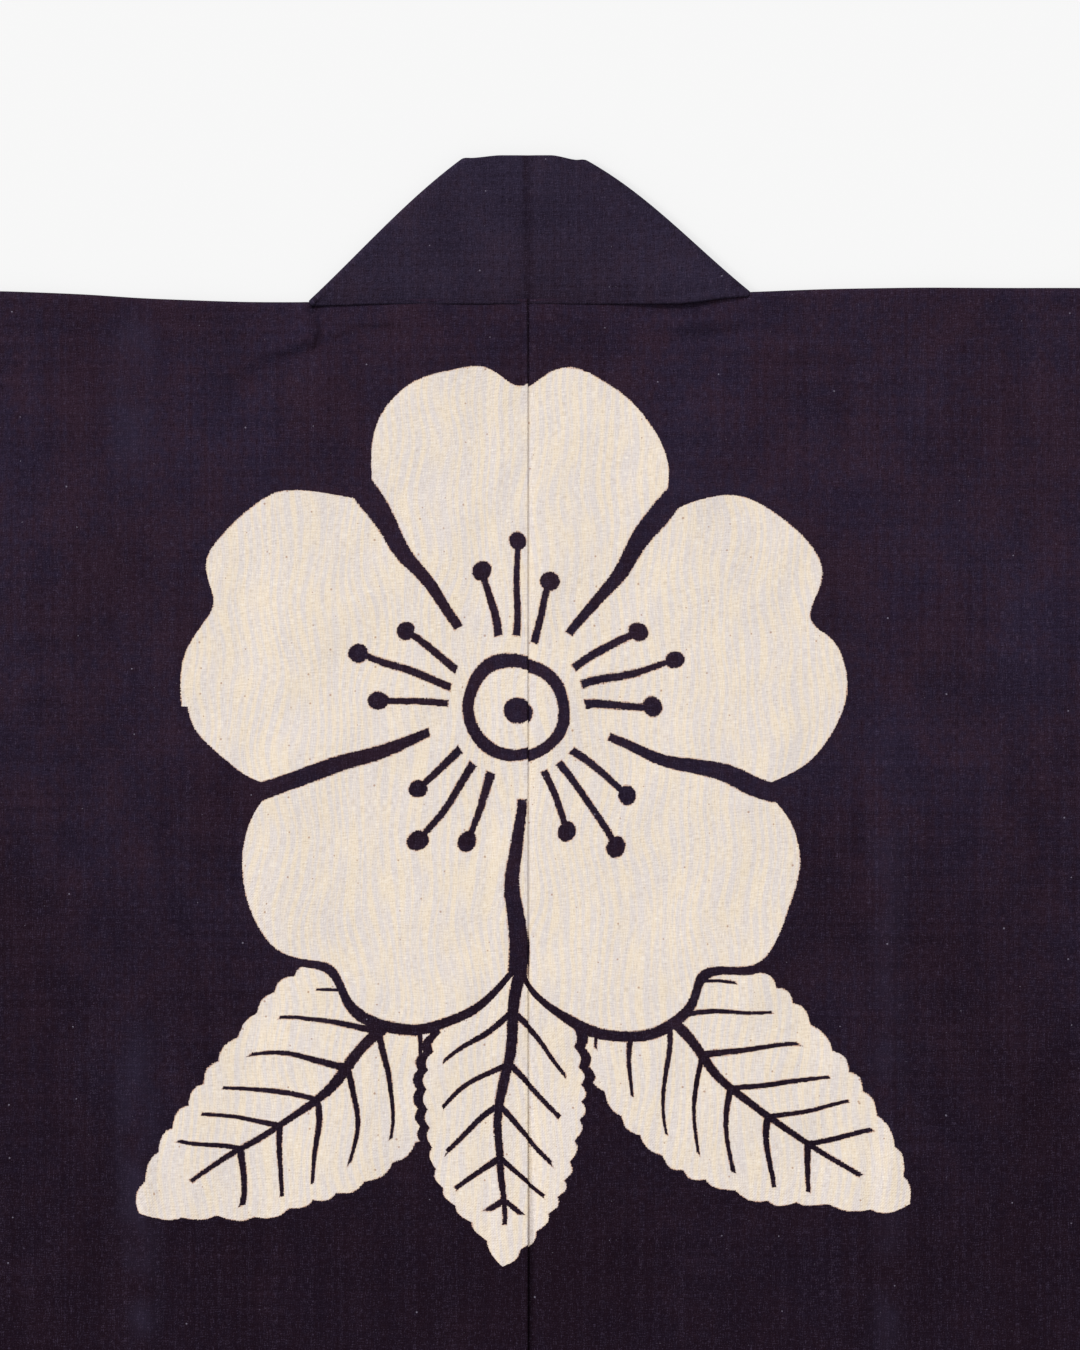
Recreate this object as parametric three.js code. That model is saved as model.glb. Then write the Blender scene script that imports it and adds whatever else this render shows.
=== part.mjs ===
// Happi coat of plain-woven indigo cotton, laid flat with its back up.
// Five cut pieces: two body lengths that run from the back hem over the shoulder to the
// front hem, two straight sleeves folded along the shoulder line and closed under the arm,
// and one long collar band, doubled, that runs from hem to hem round the neck.
// Millimetres, +Z up. The coat rests on z = 0 with its collar towards +Y, and the origin is
// under the middle of its outline. The wearer's left side lies at -X.
import * as THREE from "three";

// Cut sizes
const SLEEVE_SEAM = 310; // centre back seam to the sleeve seam
const CUFF = 630; // centre back seam to the sleeve opening
const SLEEVE_DEPTH = 300; // shoulder fold to the underarm fold
const HEM_Y = -450;
const SHOULDER_Y = 395;
const COLLAR_TOP_Y = 450;
const NECKLINE_Y = 389.8; // seam between the back and the collar
const BAND_WIDTH = 60; // doubled collar band
const FRONT_SEAM_AT_HEM = 66; // centre line to the seam between front and collar, at the hem
const NECKLINE_TURN = 58; // how far across the neckline stays level before it meets the neck fold
const NECK_RELIEF = 14; // length over which the front's edge closes up to the band

// Cloth
const CLOTH = 1.2; // wall of one layer
const BAND = 2.4; // wall of the doubled band
const GAP = 0.3; // left between pieces at a seam and between layers

const BODY_INDIGO = 0x2b1f2c;
const COLLAR_INDIGO = 0x302837;

// Heights of the middle of each layer above the table
const FRONT_Z = CLOTH / 2;
const BACK_Z = FRONT_Z + CLOTH + GAP;
const FRONT_BAND_Z = BAND / 2;
const BACK_OVER_BAND_Z = BAND + GAP + CLOTH / 2;
const NECK_BAND_Z = BAND + GAP + BAND / 2;
const NECK_ROLL = (NECK_BAND_Z - FRONT_BAND_Z) / 2; // radius of the band's turn at the neck

// Roll of the folded edges
const SHOULDER_REACH = 2.6; // how far the fold's roll runs past the flat back
const SHOULDER_LOFT = 2; // how much the cloth stands up behind the fold
const UNDERARM_LOFT = 1;
const LOFT_RUN = 24; // distance over which the loft dies away
const LOFT_STARTS = { from: 70, to: 130 }; // distances across between which the loft sets in
const BAND_MARGIN = 4; // how far past the collar bands the back stays raised over them
const BAND_SLOPE = 24; // distance over which it then comes down to the front

// Divisions of the faceted cloth
const BODY_COLUMNS = { neck: 6, shoulder: 8 };
const BODY_ROWS = { back: 22, front: 6 };
const SLEEVE_RINGS = 9;
const SLEEVE_ROWS = { back: 12, front: 4 };
const BAND_STEPS = 4;
const BAND_SECTIONS = { neck: 6, easing: 4, front: 6 };
const ROLL_STEPS = 6;

// The two neck points. foot is the outer corner where band and shoulder meet, top is the
// upper corner of the standing band, bow is how far the folded edge between them swells.
const NECK_POINTS = {
  left: { sign: -1, footX: 90, footY: 390.4, topX: 24, topY: 450, bow: 2.4 },
  right: { sign: 1, footX: 91.5, footY: 394.6, topX: 21, topY: 450, bow: 2.2 },
};

// The shoulder fold's height above SHOULDER_Y, at distances across from the centre line.
const SHOULDER_LINE = {
  left: [
    { across: 90, rise: -4.6 },
    { across: 125, rise: -4.4 },
    { across: 180, rise: -1.4 },
    { across: 216, rise: -0.1 },
    { across: 310, rise: 0.4 },
    { across: 470, rise: -1 },
    { across: 630, rise: -4 },
  ],
  right: [
    { across: 90, rise: -0.6 },
    { across: 125, rise: 0.8 },
    { across: 158, rise: 1.3 },
    { across: 216, rise: 1.2 },
    { across: 310, rise: 0.8 },
    { across: 470, rise: -1.5 },
    { across: 630, rise: -3.5 },
  ],
};

// The broad swells of the upper layer: x, y of the middle, turn in degrees of the long axis
// from +X, half lengths along and across it, and height.
const SWELLS = [
  { x: -215, y: 250, turn: 62, along: 120, across: 34, height: 1.6 },
  { x: 228, y: 205, turn: 118, along: 110, across: 36, height: 1.8 },
  { x: -150, y: -60, turn: 88, along: 200, across: 32, height: 1.5 },
  { x: 148, y: -120, turn: 92, along: 230, across: 30, height: 1.7 },
  { x: -235, y: -330, turn: 80, along: 110, across: 36, height: 1.9 },
  { x: 222, y: -360, turn: 100, along: 95, across: 34, height: 1.5 },
  { x: -60, y: -390, turn: 96, along: 90, across: 26, height: 1.1 },
  { x: -420, y: 205, turn: 152, along: 120, across: 34, height: 2.4 },
  { x: -545, y: 300, turn: 20, along: 90, across: 32, height: 1.6 },
  { x: 455, y: 240, turn: 24, along: 120, across: 36, height: 2.2 },
  { x: 560, y: 170, turn: 150, along: 85, across: 32, height: 1.8 },
];

const lerp = THREE.MathUtils.lerp;
const smooth = (value, low, high) => THREE.MathUtils.smoothstep(value, low, high);
const sideOf = (x) => (x < 0 ? "left" : "right");

// Height of the shoulder fold at x, eased between the rows of its table.
function shoulderY(x) {
  const rows = SHOULDER_LINE[sideOf(x)];
  const across = THREE.MathUtils.clamp(Math.abs(x), rows[0].across, CUFF);
  const end = Math.max(1, rows.findIndex((row) => row.across >= across));
  const [before, after] = [rows[end - 1], rows[end]];
  const share = smooth(across, before.across, after.across);
  return SHOULDER_Y + lerp(before.rise, after.rise, share);
}

// Sum of the swells at a point. They only lift the cloth, so layers never meet.
function swell(x, y) {
  return SWELLS.reduce((sum, row) => {
    const turn = THREE.MathUtils.degToRad(row.turn);
    const along = (x - row.x) * Math.cos(turn) + (y - row.y) * Math.sin(turn);
    const across = (y - row.y) * Math.cos(turn) - (x - row.x) * Math.sin(turn);
    return sum + row.height * Math.exp(-((along / row.along) ** 2) - (across / row.across) ** 2);
  }, 0);
}

// Middle of the upper layer: raised over the collar bands, and lofted behind the shoulder fold.
function backZ(x, y) {
  const raisedTo = NECK_POINTS.right.footX + BAND_MARGIN;
  const overBand = 1 - smooth(Math.abs(x), raisedTo, raisedTo + BAND_SLOPE);
  const setIn = smooth(Math.abs(x), LOFT_STARTS.from, LOFT_STARTS.to);
  const loft = SHOULDER_LOFT * setIn * Math.exp(-(shoulderY(x) - y) / LOFT_RUN);
  return lerp(BACK_Z, BACK_OVER_BAND_Z, overBand) + loft + swell(x, y);
}

// Points of a folded edge, as half an ellipse from the upper layer down to the lower one.
function roll(x, y, upperZ, lowerZ, reach) {
  const points = [];
  for (let step = 1; step < ROLL_STEPS; step++) {
    const angle = (Math.PI * step) / ROLL_STEPS;
    const z = (upperZ + lowerZ) / 2 + ((upperZ - lowerZ) / 2) * Math.cos(angle);
    points.push(new THREE.Vector3(x, y + reach * Math.sin(angle), z));
  }
  return points;
}

// One closed solid with walls from a grid of middle points: every kept cell gets an upper and
// a lower face half the thickness away along the grid's own normals, and every open edge a rim.
function clothWall(grid, thickness, { keep = () => true, loop = false } = {}) {
  const rows = grid.length;
  const columns = grid[0].length;
  const at = (row, column) => row * columns + (column % columns);
  const cells = [];
  for (let row = 0; row + 1 < rows; row++)
    for (let column = 0; column < (loop ? columns : columns - 1); column++)
      if (keep(row, column))
        cells.push([at(row, column), at(row, column + 1), at(row + 1, column + 1), at(row + 1, column)]);

  const middle = grid.flat();
  const normals = middle.map(() => new THREE.Vector3());
  for (const [a, b, c, d] of cells) {
    const across = middle[c].clone().sub(middle[a]);
    const normal = across.cross(middle[d].clone().sub(middle[b])).normalize();
    for (const corner of [a, b, c, d]) normals[corner].add(normal);
  }
  const used = new Map([...new Set(cells.flat())].map((corner, index) => [corner, index]));
  const positions = [];
  for (const offset of [thickness / 2, -thickness / 2])
    for (const corner of used.keys())
      positions.push(...middle[corner].clone().addScaledVector(normals[corner].normalize(), offset));

  const upper = (corner) => used.get(corner);
  const lower = (corner) => used.get(corner) + used.size;
  const triangles = [];
  const edges = new Map();
  for (const cell of cells) {
    const [a, b, c, d] = cell;
    triangles.push(upper(a), upper(b), upper(c), upper(a), upper(c), upper(d));
    triangles.push(lower(a), lower(c), lower(b), lower(a), lower(d), lower(c));
    cell.forEach((from, corner) => {
      const to = cell[(corner + 1) % 4];
      if (!edges.delete(`${to} ${from}`)) edges.set(`${from} ${to}`, [from, to]);
    });
  }
  for (const [from, to] of edges.values())
    triangles.push(upper(to), upper(from), lower(from), upper(to), lower(from), lower(to));

  const geometry = new THREE.BufferGeometry();
  geometry.setAttribute("position", new THREE.Float32BufferAttribute(positions, 3));
  geometry.setIndex(triangles);
  geometry.computeVertexNormals();
  return geometry;
}

// Shares from 0 to 1: in even steps, or crowding towards 1 or towards 0.
const even = (count) => Array.from({ length: count + 1 }, (_, step) => step / count);
const closerAtEnd = (count, power) => even(count).map((share) => 1 - (1 - share) ** power);
const closerAtStart = (count, power) => even(count).map((share) => share ** power);

// The slanted fold at a neck point, for the middle of the band: its direction up the fold, its
// outward normal, and its foot, set in from the outline by the roll's radius and half a wall.
function neckFold(point) {
  const along = new THREE.Vector2(point.topX - point.footX, point.topY - point.footY).normalize();
  const outward = new THREE.Vector2(along.y, -along.x);
  const inset = NECK_ROLL + BAND / 2;
  const foot = new THREE.Vector2(point.footX, point.footY).addScaledVector(outward, -inset);
  return { along, outward, foot, length: (COLLAR_TOP_Y - foot.y) / along.y };
}

// Lower edge of the standing band at a distance across from the centre line.
function necklineY(point, across) {
  const { foot } = neckFold(point);
  return lerp(NECKLINE_Y, foot.y, smooth(across, NECKLINE_TURN, foot.x));
}

// Distance across from the centre line to the seam between band and front, at a height y.
function frontSeam(point, y) {
  const { foot } = neckFold(point);
  return lerp(foot.x, FRONT_SEAM_AT_HEM, (foot.y - y) / (foot.y - HEM_Y));
}

// One body length: back layer from hem to neckline and shoulder, roll, front layer to the hem.
// The cloth is slit from the centre to the neck point, so the neck columns stop at the neckline.
function bodyPanel(side) {
  const point = NECK_POINTS[side];
  const slitEnd = point.footX + GAP;
  const sideSeam = SLEEVE_SEAM - GAP / 2;
  const neckColumns = BODY_COLUMNS.neck;
  const across = [
    ...even(neckColumns).map((share) => lerp(GAP / 2, slitEnd, share)),
    ...even(BODY_COLUMNS.shoulder).slice(1).map((share) => lerp(slitEnd, sideSeam, share)),
  ];
  const backRows = closerAtEnd(BODY_ROWS.back, 1.7);
  const frontRows = closerAtStart(BODY_ROWS.front, 2.4);
  const columnOf = (distance, column) => {
    const x = point.sign * distance;
    const isNeck = column < neckColumns;
    const topY = isNeck ? necklineY(point, distance) - GAP : shoulderY(x) - SHOULDER_REACH;
    const back = backRows.map((share) => {
      const y = lerp(HEM_Y, topY, share);
      return new THREE.Vector3(x, y, backZ(x, y));
    });
    const folded = roll(x, topY, backZ(x, topY), FRONT_Z, SHOULDER_REACH);
    const front = frontRows.map((share) => {
      const y = lerp(topY, HEM_Y, share);
      const relief = (slitEnd - frontSeam(point, topY) - GAP) * (1 - smooth(topY - y, 0, NECK_RELIEF));
      const place = Math.max(0, (distance - slitEnd) / (sideSeam - slitEnd));
      const frontX = lerp(frontSeam(point, y) + GAP + relief, sideSeam, place);
      return new THREE.Vector3(point.sign * frontX, y, FRONT_Z);
    });
    return [...back, ...folded, ...front];
  };
  const columns = across.map(columnOf);
  if (side === "left") columns.reverse();
  const grid = columns[0].map((_, row) => columns.map((column) => column[row]));
  const inNeck = (column) =>
    side === "left" ? column >= across.length - 1 - neckColumns : column < neckColumns;
  const keep = (row, column) => row < backRows.length - 1 || !inNeck(column);
  return clothWall(grid, CLOTH, { keep });
}

// One sleeve: a flat tube of rings, from the underarm fold up the back layer, over the
// shoulder fold and back down the front layer.
function sleeve(side) {
  const sign = NECK_POINTS[side].sign;
  const ringAt = (distance) => {
    const x = sign * distance;
    const top = shoulderY(x) - SHOULDER_REACH;
    const bottom = shoulderY(x) - SLEEVE_DEPTH + SHOULDER_REACH;
    const upperZ = (y) => backZ(x, y) + UNDERARM_LOFT * Math.exp(-(y - bottom) / LOFT_RUN);
    const upper = even(SLEEVE_ROWS.back).map((share) => {
      const y = lerp(bottom, top, (1 - Math.cos(Math.PI * share)) / 2);
      return new THREE.Vector3(x, y, upperZ(y));
    });
    const lower = even(SLEEVE_ROWS.front).map(
      (share) => new THREE.Vector3(x, lerp(top, bottom, share), FRONT_Z),
    );
    const shoulder = roll(x, top, upperZ(top), FRONT_Z, SHOULDER_REACH);
    const underarm = roll(x, bottom, upperZ(bottom), FRONT_Z, -SHOULDER_REACH).reverse();
    return [...upper, ...shoulder, ...lower, ...underarm];
  };
  const rings = even(SLEEVE_RINGS).map((share) => ringAt(lerp(SLEEVE_SEAM + GAP / 2, CUFF, share)));
  if (side === "right") rings.reverse();
  return clothWall(rings, CLOTH, { loop: true });
}

// One half of the collar band as cross-sections from the centre back to the front hem.
// Each section runs from the seam edge to the free edge. Over the neck the sections turn until
// they lie along the slanted fold, roll under it, and turn back to lie square to the front.
function collarHalf(side) {
  const point = NECK_POINTS[side];
  const { along, outward, foot, length } = neckFold(point);
  const steps = even(BAND_STEPS);
  const place = (flat, z) => new THREE.Vector3(point.sign * flat.x, flat.y, z);
  const chord = steps.map((step) => foot.clone().addScaledVector(along, length * step));
  // The swell is step^2 (1 - step), scaled to reach the bow at its peak, two thirds of the way up.
  const peak = 4 / 27;
  const foldLine = steps.map((step, index) =>
    chord[index].clone().addScaledVector(outward, (point.bow / peak) * step ** 2 * (1 - step)),
  );
  // The neck sections take on the swell only near the fold.
  const neck = even(BAND_SECTIONS.neck).map((share) =>
    steps.map((step, index) => {
      const seam = new THREE.Vector2(foot.x * share, necklineY(point, foot.x * share));
      const free = new THREE.Vector2(foldLine.at(-1).x * share, COLLAR_TOP_Y);
      const bow = foldLine[index].clone().sub(chord[index]);
      return place(seam.lerp(free, step).addScaledVector(bow, share ** 3), NECK_BAND_Z);
    }),
  );
  // Rolling a slanted band under moves its free edge back down the fold.
  const slant = along.x / along.y;
  const turned = even(ROLL_STEPS).slice(1).map((share) => {
    const angle = Math.PI * share;
    return steps.map((step, index) => {
      const flat = foldLine[index].clone().addScaledVector(outward, NECK_ROLL * Math.sin(angle));
      flat.addScaledVector(along, slant * NECK_ROLL * angle * step);
      return place(flat, FRONT_BAND_Z + NECK_ROLL * (1 + Math.cos(angle)));
    });
  });
  const folded = turned.at(-1);
  const squareY = foot.y - BAND_WIDTH;
  const square = (y) =>
    steps.map((step) =>
      place(new THREE.Vector2(frontSeam(point, y) - BAND_WIDTH * step, y), FRONT_BAND_Z),
    );
  const easing = even(BAND_SECTIONS.easing).slice(1).map((share) =>
    square(squareY).map((end, index) => folded[index].clone().lerp(end, share)),
  );
  const front = even(BAND_SECTIONS.front).slice(1).map((share) => square(lerp(squareY, HEM_Y, share)));
  return [...neck, ...turned, ...easing, ...front];
}

// The whole band, from the left front hem round the neck to the right front hem.
function collar() {
  const sections = [...collarHalf("left").reverse(), ...collarHalf("right").slice(1)];
  return clothWall(sections.map((section) => [...section].reverse()), BAND);
}

const indigoCotton = (color) => new THREE.MeshStandardMaterial({ color, roughness: 0.92, metalness: 0 });

const coat = new THREE.Group();
const pieces = [
  { name: "body_left", geometry: bodyPanel("left"), color: BODY_INDIGO },
  { name: "body_right", geometry: bodyPanel("right"), color: BODY_INDIGO },
  { name: "sleeve_left", geometry: sleeve("left"), color: BODY_INDIGO },
  { name: "sleeve_right", geometry: sleeve("right"), color: BODY_INDIGO },
  { name: "collar", geometry: collar(), color: COLLAR_INDIGO },
];
for (const { name, geometry, color } of pieces) {
  const mesh = new THREE.Mesh(geometry, indigoCotton(color));
  mesh.name = name;
  coat.add(mesh);
}

export default coat;
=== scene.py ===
"""Happi coat of plain-woven indigo cotton, laid flat with its back up.

Two body lengths, two folded sleeves and one doubled collar band are built as thin shells of
cloth on the forms of the coat's solids. Sizes in this file are millimetres, in the coat's own
axes: X across the back, Y from the hem to the collar, Z up out of the back. Meshes and texture
coordinates are in metres.
"""
import functools
import logging
import math
from collections.abc import Callable
from dataclasses import dataclass, field
from enum import Enum

import bpy
import numpy as np
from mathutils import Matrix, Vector


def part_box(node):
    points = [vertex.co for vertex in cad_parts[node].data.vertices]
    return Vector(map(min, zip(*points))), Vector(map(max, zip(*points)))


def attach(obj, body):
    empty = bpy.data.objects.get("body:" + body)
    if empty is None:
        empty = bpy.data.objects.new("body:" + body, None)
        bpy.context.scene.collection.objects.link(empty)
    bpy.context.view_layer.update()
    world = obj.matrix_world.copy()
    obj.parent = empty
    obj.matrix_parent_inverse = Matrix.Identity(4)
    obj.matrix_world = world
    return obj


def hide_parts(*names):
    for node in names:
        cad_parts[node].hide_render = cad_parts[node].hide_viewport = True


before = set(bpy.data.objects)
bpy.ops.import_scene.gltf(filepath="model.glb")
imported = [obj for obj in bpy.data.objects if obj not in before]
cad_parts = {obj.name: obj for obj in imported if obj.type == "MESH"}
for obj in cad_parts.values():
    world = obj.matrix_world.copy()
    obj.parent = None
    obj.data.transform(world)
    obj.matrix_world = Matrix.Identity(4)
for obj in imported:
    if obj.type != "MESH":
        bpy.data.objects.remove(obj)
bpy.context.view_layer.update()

log = logging.getLogger("happi")

MM = 0.001
BODY = "root"


class Side(Enum):
    """The wearer's left and right, by the sign of X."""

    LEFT = -1
    RIGHT = 1

    @property
    def word(self) -> str:
        """The side's name as it stands in piece names."""
        return self.name.lower()


def node_box(name: str) -> np.ndarray:
    """Lowest and highest corner of a CAD node, in millimetres."""
    return np.array([tuple(corner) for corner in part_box(name)]) / MM


def smooth(value: np.ndarray, low: float, high: float) -> np.ndarray:
    """Rise from 0 at low to 1 at high as 3t^2 - 2t^3, and stay level outside."""
    share = np.clip((value - low) / (high - low), 0.0, 1.0)
    return share * share * (3.0 - 2.0 * share)


def blend(first: np.ndarray, second: np.ndarray, share: np.ndarray) -> np.ndarray:
    """Straight mix of two values: first at share 0 and second at share 1."""
    return first + (second - first) * share


def bump(value: np.ndarray, low: float, high: float) -> np.ndarray:
    """A single soft hump, 0 at low and high and 1 between them: sin^2 of the share of the way."""
    share = np.clip((value - low) / (high - low), 0.0, 1.0)
    return np.sin(np.pi * share) ** 2


def stretches(*stops: tuple[float, int]) -> np.ndarray:
    """Distances along a line, in even steps between stops.

    Args:
        stops: Each a distance and the number of steps that lead up to it from the stop before.
            The first stop's number is not used.

    Returns:
        All distances in order, each stop once.
    """
    parts = [
        np.linspace(before, stop, count + 1)[1:]
        for (before, _), (stop, count) in zip(stops, stops[1:])
    ]
    return np.concatenate([[stops[0][0]], *parts])


def rounded(distance: np.ndarray, radius: float) -> np.ndarray:
    """Share of the full wall at a distance from a folded edge.

    The wall closes as half an ellipse: sqrt(1 - (1 - distance / radius)^2), and never quite to 0.
    """
    inward = 1.0 - np.clip(distance / radius, 0.0, 1.0)
    return np.sqrt(np.maximum(1.0 - inward * inward, 0.0009))


def half_wall(thickness: float, radius: float, *distances: np.ndarray) -> np.ndarray:
    """Half of a cloth's thickness, rounded off within a radius of each edge."""
    shares = (rounded(distance, radius) for distance in distances)
    return thickness / 2.0 * functools.reduce(np.multiply, shares)


def turned_in(distance: np.ndarray, roll: float) -> np.ndarray:
    """How far a cloth has turned in: 1 at its edge, and 0 a roll away from it.

    It follows a quarter circle: 1 - sqrt(1 - t^2), with t = 1 - distance / roll.
    """
    share = np.clip((roll - distance) / roll, 0.0, 1.0)
    return 1.0 - np.sqrt(1.0 - share**2)


# Creases and waves


@dataclass(frozen=True)
class Crease:
    """A fold line, pull or dent in the laid cloth.

    Attributes:
        start: Where it begins.
        end: Where it dies away.
        height: How far it lifts the cloth, or sinks it if negative.
        width: Distance from its line to where it has mostly died away.
        bow: How far its middle swings to the left of the way from start to end.
        lean: From -1 to 1. Above 0 the slope on the left of that way is the steeper one.
    """

    start: tuple[float, float]
    end: tuple[float, float]
    height: float
    width: float
    bow: float = 0.0
    lean: float = 0.0

    def lift(self, x: np.ndarray, y: np.ndarray) -> np.ndarray:
        """Height of the crease over the points x, y.

        With t the share of the way from start to end, the lift is
        height * sqrt(4 t (1 - t)) * exp(-(distance to the bowed line / width)^2).

        Args:
            x: Points across.
            y: Points along, of the same shape.

        Returns:
            Heights at the points.
        """
        run = np.subtract(self.end, self.start)
        length = float(np.hypot(*run))
        along = ((x - self.start[0]) * run[0] + (y - self.start[1]) * run[1]) / length**2
        left = ((y - self.start[1]) * run[0] - (x - self.start[0]) * run[1]) / length
        inside = 4.0 * np.clip(along, 0.0, 1.0) * (1.0 - np.clip(along, 0.0, 1.0))
        left = left - self.bow * inside
        width = self.width * (1.0 - self.lean * np.tanh(left / self.width))
        return self.height * np.sqrt(inside) * np.exp(-((left / width) ** 2))


@dataclass(frozen=True)
class Swell:
    """A broad lift of the upper layer: an oval heap, turned by some degrees from X."""

    x: float
    y: float
    turn: float
    along: float
    across: float
    height: float

    def lift(self, x: np.ndarray, y: np.ndarray) -> np.ndarray:
        """Height of the heap: height * exp(-(a / along)^2 - (b / across)^2), a and b on its axes.

        Args:
            x: Points across.
            y: Points along, of the same shape.

        Returns:
            Heights at the points.
        """
        turn = math.radians(self.turn)
        a = (x - self.x) * math.cos(turn) + (y - self.y) * math.sin(turn)
        b = (y - self.y) * math.cos(turn) - (x - self.x) * math.sin(turn)
        return self.height * np.exp(-((a / self.along) ** 2) - (b / self.across) ** 2)


@dataclass(frozen=True)
class Ripples:
    """Irregular shallow waves, as in cloth that has been washed and put away many times."""

    seed: int
    length: float
    height: float
    count: int = 28

    def lift(self, x: np.ndarray, y: np.ndarray) -> np.ndarray:
        """Sum of straight waves of many directions, lengths and phases, scaled to the height.

        Args:
            x: Points across.
            y: Points along, of the same shape.

        Returns:
            Heights at the points.
        """
        rng = np.random.default_rng(self.seed)
        heading = rng.uniform(0.0, 2.0 * np.pi, self.count)
        rate = 2.0 * np.pi / (self.length * rng.uniform(0.65, 1.7, self.count))
        phase = rng.uniform(0.0, 2.0 * np.pi, self.count)
        travel = x[..., None] * np.cos(heading) + y[..., None] * np.sin(heading)
        waves = np.cos(travel * rate + phase).sum(axis=-1)
        return self.height * waves / math.sqrt(self.count / 2.0)


SWELLS = (
    Swell(-215, 250, 62, 120, 34, 1.6),
    Swell(228, 205, 118, 110, 36, 1.8),
    Swell(-150, -60, 88, 200, 32, 1.5),
    Swell(148, -120, 92, 230, 30, 1.7),
    Swell(-235, -330, 80, 110, 36, 1.9),
    Swell(222, -360, 100, 95, 34, 1.5),
    Swell(-60, -390, 96, 90, 26, 1.1),
    Swell(-420, 205, 152, 120, 34, 2.4),
    Swell(-545, 300, 20, 90, 32, 1.6),
    Swell(455, 240, 24, 120, 36, 2.2),
    Swell(560, 170, 150, 85, 32, 1.8),
)

CREASES = (
    # Pulls at the neck points and under the collar
    Crease((-94, 408), (-88, 366), 1.9, 2.0, bow=1.0),
    Crease((-90, 408), (-84, 368), -3.2, 2.4, bow=1.2),
    Crease((-86, 384), (-58, 372), -0.9, 3.0, bow=2.0),
    Crease((-124, 355), (-52, 379), -2.7, 5.2, bow=3.0, lean=0.4),
    Crease((-116, 366), (-44, 385), 1.1, 4.6, bow=3.0),
    Crease((8, 388), (30, 378), 1, 1.9, bow=1.5),
    Crease((58, 377), (92, 381), -1.2, 2, bow=-3.0),
    Crease((76, 367), (150, 364), -1.1, 2.2, bow=-1.5),
    Crease((84, 372), (140, 370), 0.7, 2.5, bow=1.0),
    Crease((24, 368), (70, 372), -0.6, 2.7, bow=-1.0),
    # Lengthwise storage folds either side of the back
    Crease((-151, 222), (-145, 182), -1.2, 1.7, bow=1.0, lean=0.3),
    Crease((-140, 152), (-131, 104), -1.3, 1.9, bow=-1.2, lean=-0.3),
    Crease((-160, 90), (-156, -60), 1.2, 3.4, bow=1.5),
    Crease((-148, 10), (-144, -150), -1, 2.7, bow=-1.5),
    Crease((146, 215), (149, 20), 1.1, 2.5, bow=1.2),
    Crease((140, 60), (146, -90), -1.1, 2.4, bow=-1.0),
    Crease((150, -70), (146, -280), 1.1, 2.9, bow=1.4),
    Crease((-152, -140), (-149, -330), 1.2, 2.7, bow=-1.2),
    # Pulls across the back
    Crease((160, 264), (224, 242), -1.2, 2.9, bow=2.0, lean=0.3),
    Crease((166, 254), (215, 238), 0.8, 3.4, bow=2.0),
    Crease((192, 152), (204, 120), -0.9, 2.2, bow=1.0),
    Crease((-222, 318), (-170, 300), -0.8, 3.1, bow=-2.0),
    Crease((-214, 128), (-176, 96), -0.9, 2.9, bow=2.0),
    Crease((168, 340), (206, 300), 0.8, 3.7, bow=-3.0),
    Crease((-200, 60), (-170, 20), 0.8, 3.4, bow=2.5),
    # The cross fold at the waist, and the lower back
    Crease((-300, -92), (-120, -84), -2.1, 3, bow=2.0, lean=0.4),
    Crease((-130, -86), (-12, -90), -1.8, 2.8, bow=-1.0, lean=0.4),
    Crease((8, -90), (150, -84), -2, 2.8, bow=1.5, lean=0.4),
    Crease((140, -84), (300, -93), -2.1, 3, bow=-1.5, lean=0.4),
    Crease((-90, -150), (-70, -250), 1.5, 4.8, bow=3.0),
    Crease((60, -170), (92, -300), 1.7, 5.2, bow=-4.0),
    Crease((-250, -180), (-215, -300), -1.7, 3.9, bow=4.0),
    Crease((232, -200), (206, -320), -1.5, 4, bow=-3.0),
    Crease((20, -330), (34, -444), 1.5, 5.2, bow=2.0),
    Crease((-286, -300), (-240, -430), 1.8, 5.9, bow=-5.0),
    Crease((262, -340), (286, -446), 1.8, 5.2, bow=4.0),
    Crease((-130, -360), (-118, -446), -1.5, 3.4, bow=1.5),
    Crease((124, -350), (130, -446), -1.5, 3.6, bow=-1.5),
    # The sleeves: one fold across each, pulls from the underarm, dents by the cuff
    Crease((-470, 392), (-466, 96), -2.2, 3.1, bow=3.0, lean=0.3),
    Crease((468, 392), (474, 96), -2.2, 3.1, bow=-3.0, lean=-0.3),
    Crease((-312, 100), (-400, 176), 2.7, 6.4, bow=6.0),
    Crease((-314, 118), (-380, 214), -1.8, 4.6, bow=8.0),
    Crease((312, 100), (396, 184), 2.7, 6.4, bow=-7.0),
    Crease((314, 122), (372, 228), -1.8, 4.6, bow=-7.0),
    Crease((-340, 388), (-396, 330), 1.8, 5.2, bow=-4.0),
    Crease((338, 390), (402, 322), 1.8, 5.2, bow=4.0),
    Crease((-626, 250), (-540, 228), 1.8, 4.9, bow=5.0),
    Crease((-628, 150), (-560, 170), -1.5, 4, bow=-4.0),
    Crease((626, 280), (544, 262), 1.8, 5.1, bow=-5.0),
    Crease((628, 200), (556, 216), -1.5, 3.9, bow=3.0),
    Crease((-520, 120), (-430, 140), -1.5, 4.2, bow=4.0),
    Crease((516, 124), (440, 150), -1.5, 4.2, bow=-3.0),
)

RIPPLES = (
    Ripples(seed=11, length=64, height=0.34),
    Ripples(seed=12, length=24, height=0.13),
    Ripples(seed=13, length=9, height=0.035),
)


# How the coat lies


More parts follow.
